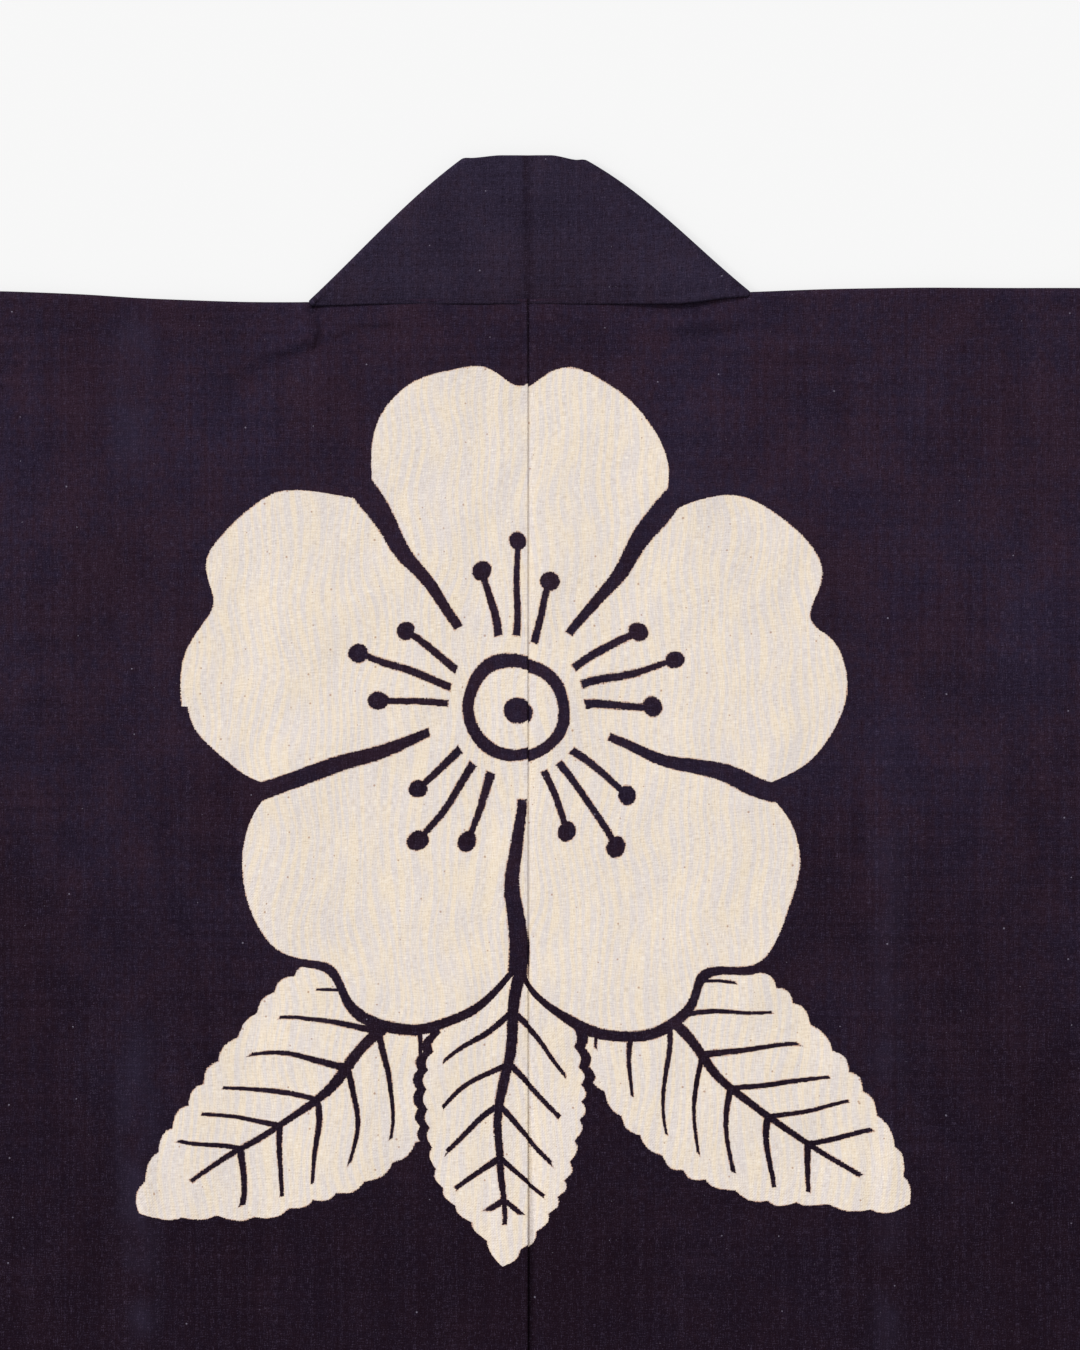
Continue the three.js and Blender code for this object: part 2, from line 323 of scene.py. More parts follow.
@dataclass(frozen=True)
class NeckFold:
    """The slanted fold where the standing collar turns under at one neck point.

    Attributes:
        foot: Outer corner where collar and shoulder meet, as distance across and height.
        top: Upper corner of the standing band.
        bow: How far the folded edge swells outwards between them.
        drop: How much lower the free edge is at the fold than at the centre back.
        roll: Radius of the turn, to the middle of the band.
        inset: From the outline in to the middle of the band's flat part.
    """

    foot: tuple[float, float]
    top: tuple[float, float]
    bow: float
    drop: float
    roll: float
    inset: float

    @property
    def along(self) -> np.ndarray:
        """Unit vector up the fold."""
        run = np.subtract(self.top, self.foot)
        return run / np.hypot(*run)

    @property
    def outward(self) -> np.ndarray:
        """Unit vector square to the fold, away from the neck."""
        return np.array([self.along[1], -self.along[0]])

    @property
    def inner_foot(self) -> np.ndarray:
        """Foot of the fold for the middle of the band: the outline's foot, set in."""
        return np.array(self.foot) - self.outward * self.inset

    def line(self, step: np.ndarray, top_y: float) -> tuple[np.ndarray, np.ndarray]:
        """The fold of the band's middle.

        Args:
            step: Shares of the band's width, 0 at the seam edge and 1 at the free edge.
            top_y: Height of the free edge.

        Returns:
            Points on the straight fold, and on the fold as it swells out by
            bow * 6.75 step^2 (1 - step), which peaks two thirds of the way up.
        """
        length = (top_y - self.inner_foot[1]) / self.along[1]
        straight = self.inner_foot + self.along * (length * step)[..., None]
        swell = self.bow * 6.75 * step**2 * (1.0 - step)
        return straight, straight + self.outward * swell[..., None]


FOLD_ANGLES = np.linspace(0.0, np.pi, 11)[1:-1]


@dataclass(frozen=True)
class Lay:
    """Where each layer of the coat lies. Every piece takes its form from here."""

    sleeve_seam: float
    cuff: float
    hem_y: float
    collar_top: float
    cloth: float = 0.8
    band: float = 1.8
    band_width: float = 60.0
    shoulder_y: float = 395.0
    neckline_y: float = 389.8
    neckline_turn: float = 58.0
    front_seam_at_hem: float = 66.0
    sleeve_depth: float = 300.0
    back_z: float = 2.5
    back_over_band_z: float = 3.4
    settling: float = 3.5
    neck_band_z: float = 3.9
    reach: float = 2.6
    loft: float = 2.0
    loft_run: float = 24.0
    loft_clears_neck: tuple[float, float] = (70.0, 130.0)
    band_step: tuple[float, float] = (4.0, 28.0)
    slack_span: tuple[float, float] = (26.0, 112.0)
    shoulder_across: tuple[float, ...] = (90, 108, 125, 158, 180, 216, 310, 470, 630)
    shoulder_left: tuple[float, ...] = (-4.6, -4.7, -4.4, -3.1, -1.5, -0.1, 0.4, -1.0, -4.0)
    shoulder_right: tuple[float, ...] = (-0.6, 0.2, 0.8, 1.3, 1.2, 1.2, 0.8, -1.5, -3.5)

    @classmethod
    def from_frame(cls) -> "Lay":
        """Take the outline's sizes from the coat's solids.

        Returns:
            The lay.
        """
        sleeve = node_box("sleeve_right")
        body = node_box("body_right")
        collar = node_box("collar")
        return cls(
            sleeve_seam=(sleeve[0][0] + body[1][0]) / 2.0,
            cuff=sleeve[1][0],
            hem_y=body[0][1],
            collar_top=collar[1][1],
        )

    @property
    def front_z(self) -> float:
        """Middle of the front layer, which lies on the table."""
        return self.cloth / 2.0

    def neck_fold(self, side: Side) -> NeckFold:
        """The fold of the collar at one neck point.

        Args:
            side: Left or right.

        Returns:
            The fold.
        """
        roll = (self.neck_band_z - self.band / 2.0) / 2.0
        inset = roll + self.band / 2.0
        if side is Side.LEFT:
            return NeckFold((90.2, 390.9), (26.4, 450.0), 1.5, 1.1, roll, inset)
        return NeckFold((91.5, 394.6), (22.4, 450.0), 2.3, 1.9, roll, inset)

    def shoulder(self, x: np.ndarray) -> np.ndarray:
        """Height of the shoulder fold at x: a table read straight, then eased at its corners.

        Args:
            x: Places across the coat.

        Returns:
            Heights of the fold.
        """
        across = np.clip(np.abs(x), self.shoulder_across[0], self.cuff)
        eased = 0.0
        spread = (-9.0, -4.5, 0.0, 4.5, 9.0)
        for shift in spread:
            left = np.interp(across + shift, self.shoulder_across, self.shoulder_left)
            right = np.interp(across + shift, self.shoulder_across, self.shoulder_right)
            eased = eased + np.where(x < 0, left, right) / len(spread)
        return self.shoulder_y + eased

    def neckline(self, side: Side, across: np.ndarray) -> np.ndarray:
        """Seam between back and collar: level, then rising to the foot of the neck fold."""
        foot = self.neck_fold(side).inner_foot
        return blend(self.neckline_y, foot[1], smooth(across, self.neckline_turn, foot[0]))

    def front_seam(self, side: Side, y: np.ndarray) -> np.ndarray:
        """Distance across to the seam between front and collar, straight from neck to hem."""
        foot = self.neck_fold(side).inner_foot
        return blend(foot[0], self.front_seam_at_hem, (foot[1] - y) / (foot[1] - self.hem_y))

    def slack(self, across: np.ndarray) -> np.ndarray:
        """How loosely the collar's right half lies along the neck seam, from 0 to 1."""
        return bump(across, *self.slack_span)

    def under_arm(self, y: np.ndarray) -> np.ndarray:
        """0 below the sleeve, where the side seam is, rising to 1 beside it."""
        return smooth(y, self.shoulder_y - self.sleeve_depth - 8.0, 100.0)

    def fold(
        self,
        x: np.ndarray,
        edge_y: np.ndarray,
        upper_z: np.ndarray,
        reach: float,
        angles: np.ndarray = FOLD_ANGLES,
    ) -> np.ndarray:
        """Part of the half ellipse that joins the upper layer to the front.

        Args:
            x: Columns.
            edge_y: Where each column begins to turn.
            upper_z: Middle of the upper layer there.
            reach: How far past edge_y the fold reaches, downwards if negative.
            angles: Steps round it, from 0 above to pi below.

        Returns:
            Points, angles by columns by 3.
        """
        angle = angles[:, None]
        mean, half = (upper_z + self.front_z) / 2.0, (upper_z - self.front_z) / 2.0
        y = edge_y + reach * np.sin(angle)
        return np.stack([np.broadcast_to(x, y.shape), y, mean + half * np.cos(angle)], -1)

    def relief(self, x: np.ndarray, y: np.ndarray) -> np.ndarray:
        """Everything that lifts or dents the upper layer: swells, creases and ripples, added up."""
        return sum(part.lift(x, y) for part in (*SWELLS, *CREASES, *RIPPLES))

    def upper(self, x: np.ndarray, y: np.ndarray) -> np.ndarray:
        """Middle of the upper layer.

        It lies on the front, rises over the collar bands, stands up a little behind the shoulder
        fold by loft * exp(-distance / run), and carries the relief. Dents that would pass through
        the layer below die away over it: floor + log(1 + exp(k (level - floor))) / k.

        Args:
            x: Points across.
            y: Points along, of the same shape.

        Returns:
            Heights of its middle.
        """
        edge = self.neck_fold(Side.RIGHT).foot[0]
        over_band = 1.0 - smooth(np.abs(x) - edge, *self.band_step)
        fade = smooth(np.abs(x), *self.loft_clears_neck)
        loft = self.loft * fade * np.exp(-np.maximum(self.shoulder(x) - y, 0.0) / self.loft_run)
        level = blend(self.back_z, self.back_over_band_z, over_band) + loft + self.relief(x, y)
        floor = blend(self.cloth * 1.5, self.band + self.cloth / 2.0, over_band) + 0.1
        return floor + np.logaddexp(0.0, (level - floor) * self.settling) / self.settling


# Cloth shells


@dataclass
class ClothForm:
    """A grid of points through the middle of a cloth, from which its shell is made.

    Attributes:
        middle: Points, rows by columns by 3. Columns by rows is the outer side by the right hand.
        cut: Place of each point on the flat cut piece, rows by columns by 2.
        outer: Wall from the middle to the outer side, rows by columns.
        inner: Wall from the middle to the inner side.
        keep: Cells that are cloth, one less each way than the grid. None keeps all.
    """

    middle: np.ndarray
    cut: np.ndarray
    outer: np.ndarray
    inner: np.ndarray
    keep: np.ndarray | None = None

    def mirrored(self) -> "ClothForm":
        """The same form with its columns in the other order, which swaps its two sides.

        Returns:
            The new form.
        """
        keep = None if self.keep is None else self.keep[:, ::-1]
        grids = (self.middle, self.cut, self.outer, self.inner)
        return ClothForm(*(grid[:, ::-1] for grid in grids), keep)

    def normals(self) -> np.ndarray:
        """Unit normals: the cross product of the steps along a row and along a column.

        Returns:
            Normals, rows by columns by 3.
        """
        across = np.gradient(self.middle, axis=1)
        along = np.gradient(self.middle, axis=0)
        normal = np.cross(across, along)
        return normal / np.maximum(np.linalg.norm(normal, axis=-1, keepdims=True), 1e-9)

    def faces(self) -> np.ndarray:
        """Quads of the closed shell: outer side, inner side turned over, and a rim on open edges.

        Returns:
            Vertex numbers, one face a row. The inner side's follow the outer side's.
        """
        rows, columns = self.middle.shape[:2]
        index = np.arange(rows * columns).reshape(rows, columns)
        a, b = index[:-1, :-1], index[:-1, 1:]
        d, c = index[1:, :-1], index[1:, 1:]
        keep = np.ones(a.shape, bool) if self.keep is None else self.keep
        beside = np.pad(keep, 1)
        edges = np.concatenate(
            [
                np.stack([a, b], -1)[keep & ~beside[:-2, 1:-1]],
                np.stack([b, c], -1)[keep & ~beside[1:-1, 2:]],
                np.stack([c, d], -1)[keep & ~beside[2:, 1:-1]],
                np.stack([d, a], -1)[keep & ~beside[1:-1, :-2]],
            ]
        )
        under = rows * columns
        outer = np.stack([a, b, c, d], -1)[keep]
        rim = np.stack([edges[:, 1], edges[:, 0], edges[:, 0] + under, edges[:, 1] + under], -1)
        return np.concatenate([outer, outer[:, ::-1] + under, rim])

    def shell(self, name: str) -> bpy.types.Object:
        """Make the closed shell as a mesh object at the origin.

        Args:
            name: Name of the piece.

        Returns:
            The object, with its flat cut as the UV map "cut" in metres.
        """
        normal = self.normals()
        outer = self.middle + normal * self.outer[..., None]
        inner = self.middle - normal * self.inner[..., None]
        points = np.concatenate([outer.reshape(-1, 3), inner.reshape(-1, 3)])
        cut = np.tile(self.cut.reshape(-1, 2), (2, 1))
        used, faces = np.unique(self.faces(), return_inverse=True)
        return mesh_object(name, points[used], faces.reshape(-1, 4), cut[used])


def mesh_object(
    name: str, points: np.ndarray, faces: np.ndarray, cut: np.ndarray | None = None
) -> bpy.types.Object:
    """Put points and faces into a smooth-shaded mesh object at the origin.

    Args:
        name: Name of the piece.
        points: Vertices in millimetres.
        faces: Vertex numbers, one face a row.
        cut: Place of each vertex on the flat cut piece, for the UV map "cut".

    Returns:
        The new object, linked to the scene.
    """
    mesh = bpy.data.meshes.new(name)
    mesh.from_pydata((points * MM).tolist(), [], faces.tolist())
    mesh.polygons.foreach_set("use_smooth", np.ones(len(mesh.polygons), bool))
    if cut is not None:
        layer = mesh.uv_layers.new(name="cut")
        layer.uv.foreach_set("vector", (cut[faces.ravel()] * MM).astype(np.float32).ravel())
    mesh.validate()
    mesh.update()
    made = bpy.data.objects.new(name, mesh)
    bpy.context.scene.collection.objects.link(made)
    return made


def dress(
    piece: bpy.types.Object, finish: bpy.types.Material, node: str | None = None
) -> None:
    """Give a piece its finish and its body, and hide the CAD node that it stands for.

    Args:
        piece: The mesh object.
        finish: Its material.
        node: The CAD node that it stands for, if any.
    """
    piece.data.materials.append(finish)
    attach(piece, BODY)
    if node:
        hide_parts(node)


@dataclass(frozen=True)
class Hem:
    """A hem turned to the inside twice: its depth, and the cloth it adds behind the wall."""

    depth: float = 11.0
    added: float = 0.75
    step: float = 1.4
    rise: float = 0.9
    ease: float = 16.0
    edge_radius: float = 0.9

    def extra(self, distance: np.ndarray) -> np.ndarray:
        """Added wall at a distance from the edge: full over the depth, then gone within a step."""
        added = self.added * (1.0 - smooth(distance, self.depth, self.depth + self.step))
        return added * rounded(distance, self.edge_radius)

    def lift(self, distance: np.ndarray) -> np.ndarray:
        """How far the upper layer is raised by the two hems under it, easing out past them."""
        return self.rise * (1.0 - smooth(distance, self.depth - 1.0, self.depth + self.ease))


EDGE = (0.0, 0.06, 0.22, 0.45)


@dataclass
class BodyPanel:
    """One loom width of the body, from the back hem over the shoulder to the front hem."""

    side: Side
    lay: Lay
    hem: Hem = field(default_factory=Hem)
    edge_radius: float = 0.45
    side_roll: float = 2.2
    side_seam_z: float = 1.15
    side_seam_gap: float = 0.25
    sleeve_seam_sink: float = 0.22
    allowance: float = 14.0
    allowance_height: float = 0.42
    tuck_under_collar: float = 2.2
    tuck_under_seam: float = 1.0
    slit_gap: float = 0.3
    tuck_beside_collar: float = 2.2
    front_rows: int = 26
    measured_column: int = -20

    @property
    def name(self) -> str:
        """Name of the CAD node."""
        return f"body_{self.side.word}"

    @property
    def slit_end(self) -> float:
        """Distance across to the neck point, where the slit for the collar ends."""
        return self.lay.neck_fold(self.side).foot[0] - self.tuck_beside_collar

    def columns(self) -> np.ndarray:
        """Distances across from the centre back to the side seam, close at both edges.

        Returns:
            Distances in order.
        """
        last = self.lay.sleeve_seam - 0.1
        inner = stretches((0.45, 0), (2.4, 4), (20.0, 14), (self.slit_end, 40), (last - 6.0, 84))
        outer = last - np.array([4.0, 2.6, 1.8, 1.1, 0.65, 0.3, 0.1, 0.0])
        return np.concatenate([EDGE[:-1], inner, outer])

    def centre_seam(self, across: np.ndarray, y: np.ndarray) -> np.ndarray:
        """Lift of the cloth beside the centre back seam.

        The left panel lies over the seam allowances and ends in their fold. The right panel dips
        under that fold, and lower down the back it sinks into a wider valley.

        Args:
            across: Distances from the centre back.
            y: Points along, of the same shape.

        Returns:
            Lift at the points.
        """
        if self.side is Side.LEFT:
            wander = 0.85 + 0.15 * np.sin(y / 23.0) * np.cos(y / 61.0 + 1.0)
            edge = self.allowance + 0.8 * np.sin(y / 37.0)
            lower = 1.0 + 1.1 * (1.0 - smooth(y, -20.0, 60.0)) - 1.6 * self.near_hem(y)
            return self.allowance_height * lower * wander * (1.0 - smooth(across - edge, -3.2, 3.2))
        valley = 1.7 * (1.0 - smooth(y, 0.0, 80.0)) * (0.85 + 0.15 * np.sin(y / 41.0))
        valley = valley * (1.0 - 0.7 * self.near_hem(y))
        return -0.45 * np.exp(-((across / 1.7) ** 2)) - valley * np.exp(-((across / 4.0) ** 2))

    def near_hem(self, y: np.ndarray) -> np.ndarray:
        """1 at the hem and 0 well above it."""
        return 1.0 - smooth(y - self.lay.hem_y, 4.0, 60.0)

    def neck_seam(self, across: np.ndarray, y: np.ndarray) -> np.ndarray:
        """Lift of the cloth just below the collar.

        Below the neckline by e, the cloth sinks by depth * exp(-(e / width)^2) to pass under the
        collar. On the right it also puffs up in front of the seam, and small gathers cross it.

        Args:
            across: Distances from the centre back.
            y: Points along, of the same shape.

        Returns:
            Lift at the points.
        """
        below = self.lay.neckline(self.side, across) - y
        inside = 1.0 - smooth(across, self.slit_end - 3.0, self.slit_end + 5.0)
        gathers = 0.07 * np.sin(across / 1.9 + 2.0 * np.sin(across / 11.0))
        gathers = gathers * np.exp(-((below / 5.0) ** 2))
        if self.side is Side.LEFT:
            return inside * (gathers - np.exp(-((below / 1.4) ** 2)))
        slack = self.lay.slack(across)
        sink = (1.0 + 0.1 * slack) * np.exp(-((below / (1.4 + 2.3 * slack)) ** 2))
        puff = 1.5 * slack * np.exp(-(((below - 8.0) / 3.4) ** 2))
        return inside * (gathers + puff - sink)

    def form(self) -> ClothForm:
        """Work out the panel as one grid: back from hem to shoulder, roll, front to the hem.

        The columns between the centre and the neck point stop just under the collar. Heights come
        from the lay, plus the seams' own. At the side seam each layer turns in as a quarter of an
        ellipse, to meet the other.

        Returns:
            Its middle, walls and flat cut.
        """
        lay, sign = self.lay, self.side.value
        across = self.columns()
        is_neck = across < self.slit_end - 1e-6

        heights = np.concatenate(
            [
                lay.hem_y + np.array(EDGE[:-1]),
                stretches(
                    (lay.hem_y + 0.45, 0),
                    (lay.hem_y + 9.0, 3),
                    (lay.hem_y + 14.0, 5),
                    (-40.0, 62),
                    (340.0, 124),
                    (376.0, 17),
                    (lay.shoulder_y, 17),
                ),
            ]
        )
        collar_edge = lay.neckline(self.side, across) + self.tuck_under_collar
        top = np.where(is_neck, collar_edge, lay.shoulder(sign * across) - lay.reach)
        stretch = smooth(heights, 300.0, lay.shoulder_y)[:, None]
        back_y = heights[:, None] + (top - lay.shoulder_y) * stretch
        back_a = np.broadcast_to(across, back_y.shape).copy()
        if self.side is Side.RIGHT:
            back_a = back_a - self.tuck_under_seam * (1.0 - smooth(across, 0.0, 2.4))
        back_x = sign * back_a

        turn_in = turned_in(across[-1] - back_a, self.side_roll)
        share = blend(1.0, self.sleeve_seam_sink, lay.under_arm(back_y))
        from_hem = back_y - lay.hem_y
        level = lay.upper(back_x, back_y) + self.hem.lift(from_hem)
        level = level + self.centre_seam(back_a, back_y) + self.neck_seam(back_a, back_y)
        back_z = level - turn_in * share * (level - self.side_seam_z)
        back = np.stack([back_x, back_y, back_z], -1)

        roll = lay.fold(back_x[-1], top, back_z[-1], lay.reach)

        down = np.linspace(0.0, 1.0, self.front_rows)[:, None]
        front_y = blend(top, lay.hem_y, down)
        seam = lay.front_seam(self.side, front_y) + self.slit_gap
        relief = np.maximum(self.slit_end - seam, 0.0) * (1.0 - smooth(top - front_y, 0.0, 14.0))
        place = np.clip((across - self.slit_end) / (across[-1] - self.slit_end), 0.0, 1.0)
        front_a = blend(seam + relief, across[-1], place) - np.where(is_neck, 1.0, 0.0)
        rise = turn_in[-1] * (self.side_seam_z - self.side_seam_gap - lay.front_z)
        rise = rise * (1.0 - lay.under_arm(front_y))
        front = np.stack([sign * front_a, front_y, lay.front_z + rise], -1)

        middle = np.concatenate([back, roll, front])
        keep = np.ones((len(middle) - 1, len(across) - 1), bool)
        keep[len(back) - 1 :, : int(is_neck.sum())] = False

        beyond = middle[len(back) - 1 :, self.measured_column]
        over = back_y[-1] + np.cumsum(np.linalg.norm(np.diff(beyond, axis=0), axis=-1))[:, None]
        cut = np.stack([middle[..., 0], np.concatenate([back_y, over])], -1)

        from_hem = np.abs(middle[..., 1] - lay.hem_y)
        edges = (across, across[-1] - across, from_hem)
        wall = half_wall(lay.cloth, self.edge_radius, *edges)
        form = ClothForm(middle, cut, wall, wall + self.hem.extra(from_hem), keep)
        return form.mirrored() if self.side is Side.LEFT else form

    def build(self, finish: bpy.types.Material) -> bpy.types.Object:
        """Make the panel and dress it.

        Args:
            finish: Its material.

        Returns:
            The panel.
        """
        piece = self.form().shell(f"{self.name}_cloth")
        dress(piece, finish, self.name)
        return piece


@dataclass
class Sleeve:
    """One straight sleeve, folded over the shoulder line and closed under the arm."""

    side: Side
    lay: Lay
    hem: Hem = field(default_factory=Hem)
    edge_radius: float = 0.45
    underarm_loft: float = 1.0
    seam_roll: float = 2.2
    seam_sink: float = 0.22
    seam_z: float = 1.15
    underarm_opening: float = 0.04
    measured_column: int = 40

    @property
    def name(self) -> str:
        """Name of the CAD node."""
        return f"sleeve_{self.side.word}"

    def form(self) -> ClothForm:
        """Work out the sleeve as one grid, from the underarm seam up the back layer, over the
        shoulder fold and down the front layer to the underarm seam again.

        Both folds are half ellipses. The underarm one is in two quarters that meet at the seam.

        Returns:
            Its middle, walls and flat cut.
        """
        lay, sign = self.lay, self.side.value
        first, last = lay.sleeve_seam + 0.1, lay.cuff
        inner = stretches((first + 0.45, 0), (first + 6.0, 5), (last - 14.0, 70), (last - 9.0, 5))
        outer = np.concatenate([stretches((last - 9.0, 0), (last - 0.45, 3))[1:], [last - 0.22]])
        across = np.concatenate([first + np.array(EDGE[:-1]), inner, outer, [last - 0.06, last]])
        x = sign * across

        top = lay.shoulder(x) - lay.reach
        bottom = lay.shoulder(x) - lay.sleeve_depth + lay.reach
        up = np.linspace(0.0, 1.0, 66)[:, None]
        back_y = blend(bottom, top, up - np.sin(2.0 * np.pi * up) / (2.6 * np.pi))
        back_x = np.broadcast_to(x, back_y.shape)
        level = lay.upper(back_x, back_y)
        level = level + self.underarm_loft * np.exp(-(back_y - bottom) / lay.loft_run)
        level = level + self.hem.lift(last - across)
        turn_in = turned_in(across - first, self.seam_roll)
        back_z = level - turn_in * self.seam_sink * (level - self.seam_z)
        back = np.stack([back_x, back_y, back_z], -1)

        shoulder = lay.fold(x, top, back_z[-1], lay.reach)
        near = np.linspace(np.pi / 2.0 - self.underarm_opening, 0.0, 7)[:-1]
        under = lay.fold(x, bottom, back_z[0], -lay.reach, near)
        beneath = lay.fold(x, bottom, back_z[0], -lay.reach, np.pi - near[::-1])
        front_y = blend(top, bottom, np.linspace(0.0, 1.0, 30)[:, None])
        front_x = np.broadcast_to(x, front_y.shape)
        front = np.stack([front_x, front_y, np.full(front_y.shape, lay.front_z)], -1)
        middle = np.concatenate([under, back, shoulder, front, beneath])

        steps = np.linalg.norm(np.diff(middle[:, self.measured_column], axis=0), axis=-1)
        run = np.concatenate([[0.0], np.cumsum(steps)])
        run = run - run[len(under)] + back_y[0].mean()
        cut = np.stack(np.broadcast_arrays(x, run[:, None]), -1)

        from_seam = np.minimum(run - run[0], run[-1] - run)[:, None]
        edges = (across - first, last - across, from_seam)
        wall = half_wall(lay.cloth, self.edge_radius, *edges)
        form = ClothForm(middle, cut, wall, wall + self.hem.extra(last - across))
        return form.mirrored() if self.side is Side.LEFT else form

    def build(self, finish: bpy.types.Material) -> bpy.types.Object:
        """Make the sleeve and dress it.

        Args:
            finish: Its material.

        Returns:
            The sleeve.
        """
        piece = self.form().shell(f"{self.name}_cloth")
        dress(piece, finish, self.name)
        return piece


@dataclass
class Collar:
    """The doubled band, from the left front hem round the neck to the right front hem."""

    lay: Lay
    edge_radius: float = 0.9
    gape: float = 1.3
    tuck: float = 0.75
    ripples: Ripples = field(default_factory=lambda: Ripples(seed=21, length=30, height=0.09))

    def half(self, side: Side, step: np.ndarray) -> tuple[np.ndarray, np.ndarray]:
        """Cross-sections of one half, from the centre back to the front hem.

        Each section runs over step, from the seam edge to the free edge. Over the neck the
        sections turn until they lie along the slanted fold. There they go round half a circle
        and slide back down the fold by roll * angle * cot(slant), as cloth on the slant does.
        Then they turn back to lie square to the front.

        Args:
            side: Left or right.
            step: Shares of the band's width.

        Returns:
            Points, sections by steps by 3, and how far along the band each point is.
        """
        lay, fold = self.lay, self.lay.neck_fold(side)
        foot = fold.inner_foot
        straight, swollen = fold.line(step, lay.collar_top - fold.drop)

        share = np.linspace(0.0, 1.0, 52)[:, None]
        seam_x = foot[0] * share
        seam_y = lay.neckline(side, seam_x)
        free_x = swollen[-1, 0] * share
        free_y = lay.collar_top - fold.drop * smooth(share, 0.45, 1.05) / smooth(1.0, 0.45, 1.05)
        neck_x = blend(seam_x, free_x, step)
        neck_y = blend(seam_y, free_y, step)
        flat = np.stack([neck_x, neck_y], -1) + (swollen - straight) * share[..., None] ** 3
        crease = -0.5 * np.exp(-((flat[..., 0] / 2.4) ** 2))
        wave = self.ripples.lift(side.value * flat[..., 0], flat[..., 1])
        wave = wave * (1.0 - smooth(share, 0.7, 0.98))
        neck_z = lay.neck_band_z + crease + wave + self.stand_off(side, flat[..., 0], step)
        neck = np.concatenate([flat, neck_z[..., None]], -1)

        angle = np.pi * np.linspace(0.0, 1.0, 14)[1:, None, None]
        slide = fold.along * (fold.along[0] / fold.along[1]) * fold.roll * angle * step[:, None]
        around = swollen + fold.outward * fold.roll * np.sin(angle) + slide
        around_z = lay.band / 2.0 + fold.roll * (1.0 + np.cos(angle))
        turned = np.concatenate([around, np.broadcast_to(around_z, around.shape[:2] + (1,))], -1)

        square_y = foot[1] - lay.band_width
        down = np.linspace(0.0, 1.0, 14)[1:, None, None]
        end_x = lay.front_seam(side, square_y) - lay.band_width * step
        end = np.stack([end_x, np.full(step.shape, square_y)], -1)
        easing = blend(turned[-1, :, :2], end, down)
        low_y = np.linspace(square_y, lay.hem_y, 60)[1:, None]
        front_x = lay.front_seam(side, low_y) - lay.band_width * step
        front = np.stack([front_x, np.broadcast_to(low_y, front_x.shape)], -1)
        low = np.concatenate([easing, front])
        low = np.concatenate([low, np.full(low.shape[:2] + (1,), lay.band / 2.0)], -1)

        sections = np.concatenate([neck, turned, low])
        sections[..., 0] = sections[..., 0] * side.value
        travel = np.linalg.norm(np.diff(sections, axis=0), axis=-1)
        return sections, np.concatenate([np.zeros((1, len(step))), np.cumsum(travel, axis=0)])

    def stand_off(self, side: Side, across: np.ndarray, step: np.ndarray) -> np.ndarray:
        """Height of the band's lower part: tucked down at the seam, but at the right standing off.

        Args:
            side: Left or right.
            across: Distances from the centre back.
            step: Shares of the band's width.

        Returns:
            Height added to the band's middle.
        """
        tuck = self.tuck * (1.0 - smooth(step, 0.0, 0.11))
        if side is Side.LEFT:
            return 0.2 * bump(across, 6.0, 60.0) * (1.0 - smooth(step, 0.0, 0.3)) - tuck
        slack = self.lay.slack(across)
        return self.gape * slack * (1.0 - smooth(step, 0.0, 0.42)) - tuck * (1.0 - slack)

    def form(self) -> ClothForm:
        """Join the two halves into one grid, with both long edges and both ends rounded off.

        Returns:
            Its middle, walls and flat cut.
        """
        lay = self.lay
        width = lay.band_width
        near = (1.0 - np.cos(np.linspace(0.0, np.pi / 2.0, 5)))[:-1] * self.edge_radius
        flat = np.linspace(self.edge_radius, width - self.edge_radius, 34)
        distance = np.concatenate([near, flat, width - near[::-1]])
        step = distance / width
        left, left_run = self.half(Side.LEFT, step)
        right, right_run = self.half(Side.RIGHT, step)
        middle = np.concatenate([left[::-1], right[1:]])
        run = np.concatenate([-left_run[::-1], right_run[1:]])

        from_edge = np.minimum(distance, width - distance)
        from_end = np.minimum(run - run[0], run[-1] - run)
        wall = half_wall(lay.band, self.edge_radius, from_edge, from_end)
        cut = np.stack(np.broadcast_arrays(run, distance), -1)
        return ClothForm(middle, cut, wall, wall).mirrored()

    def build(self, finish: bpy.types.Material) -> bpy.types.Object:
        """Make the band and dress it.

        Args:
            finish: Its material.

        Returns:
            The band.
        """
        piece = self.form().shell("collar_band")
        dress(piece, finish, "collar")
        return piece


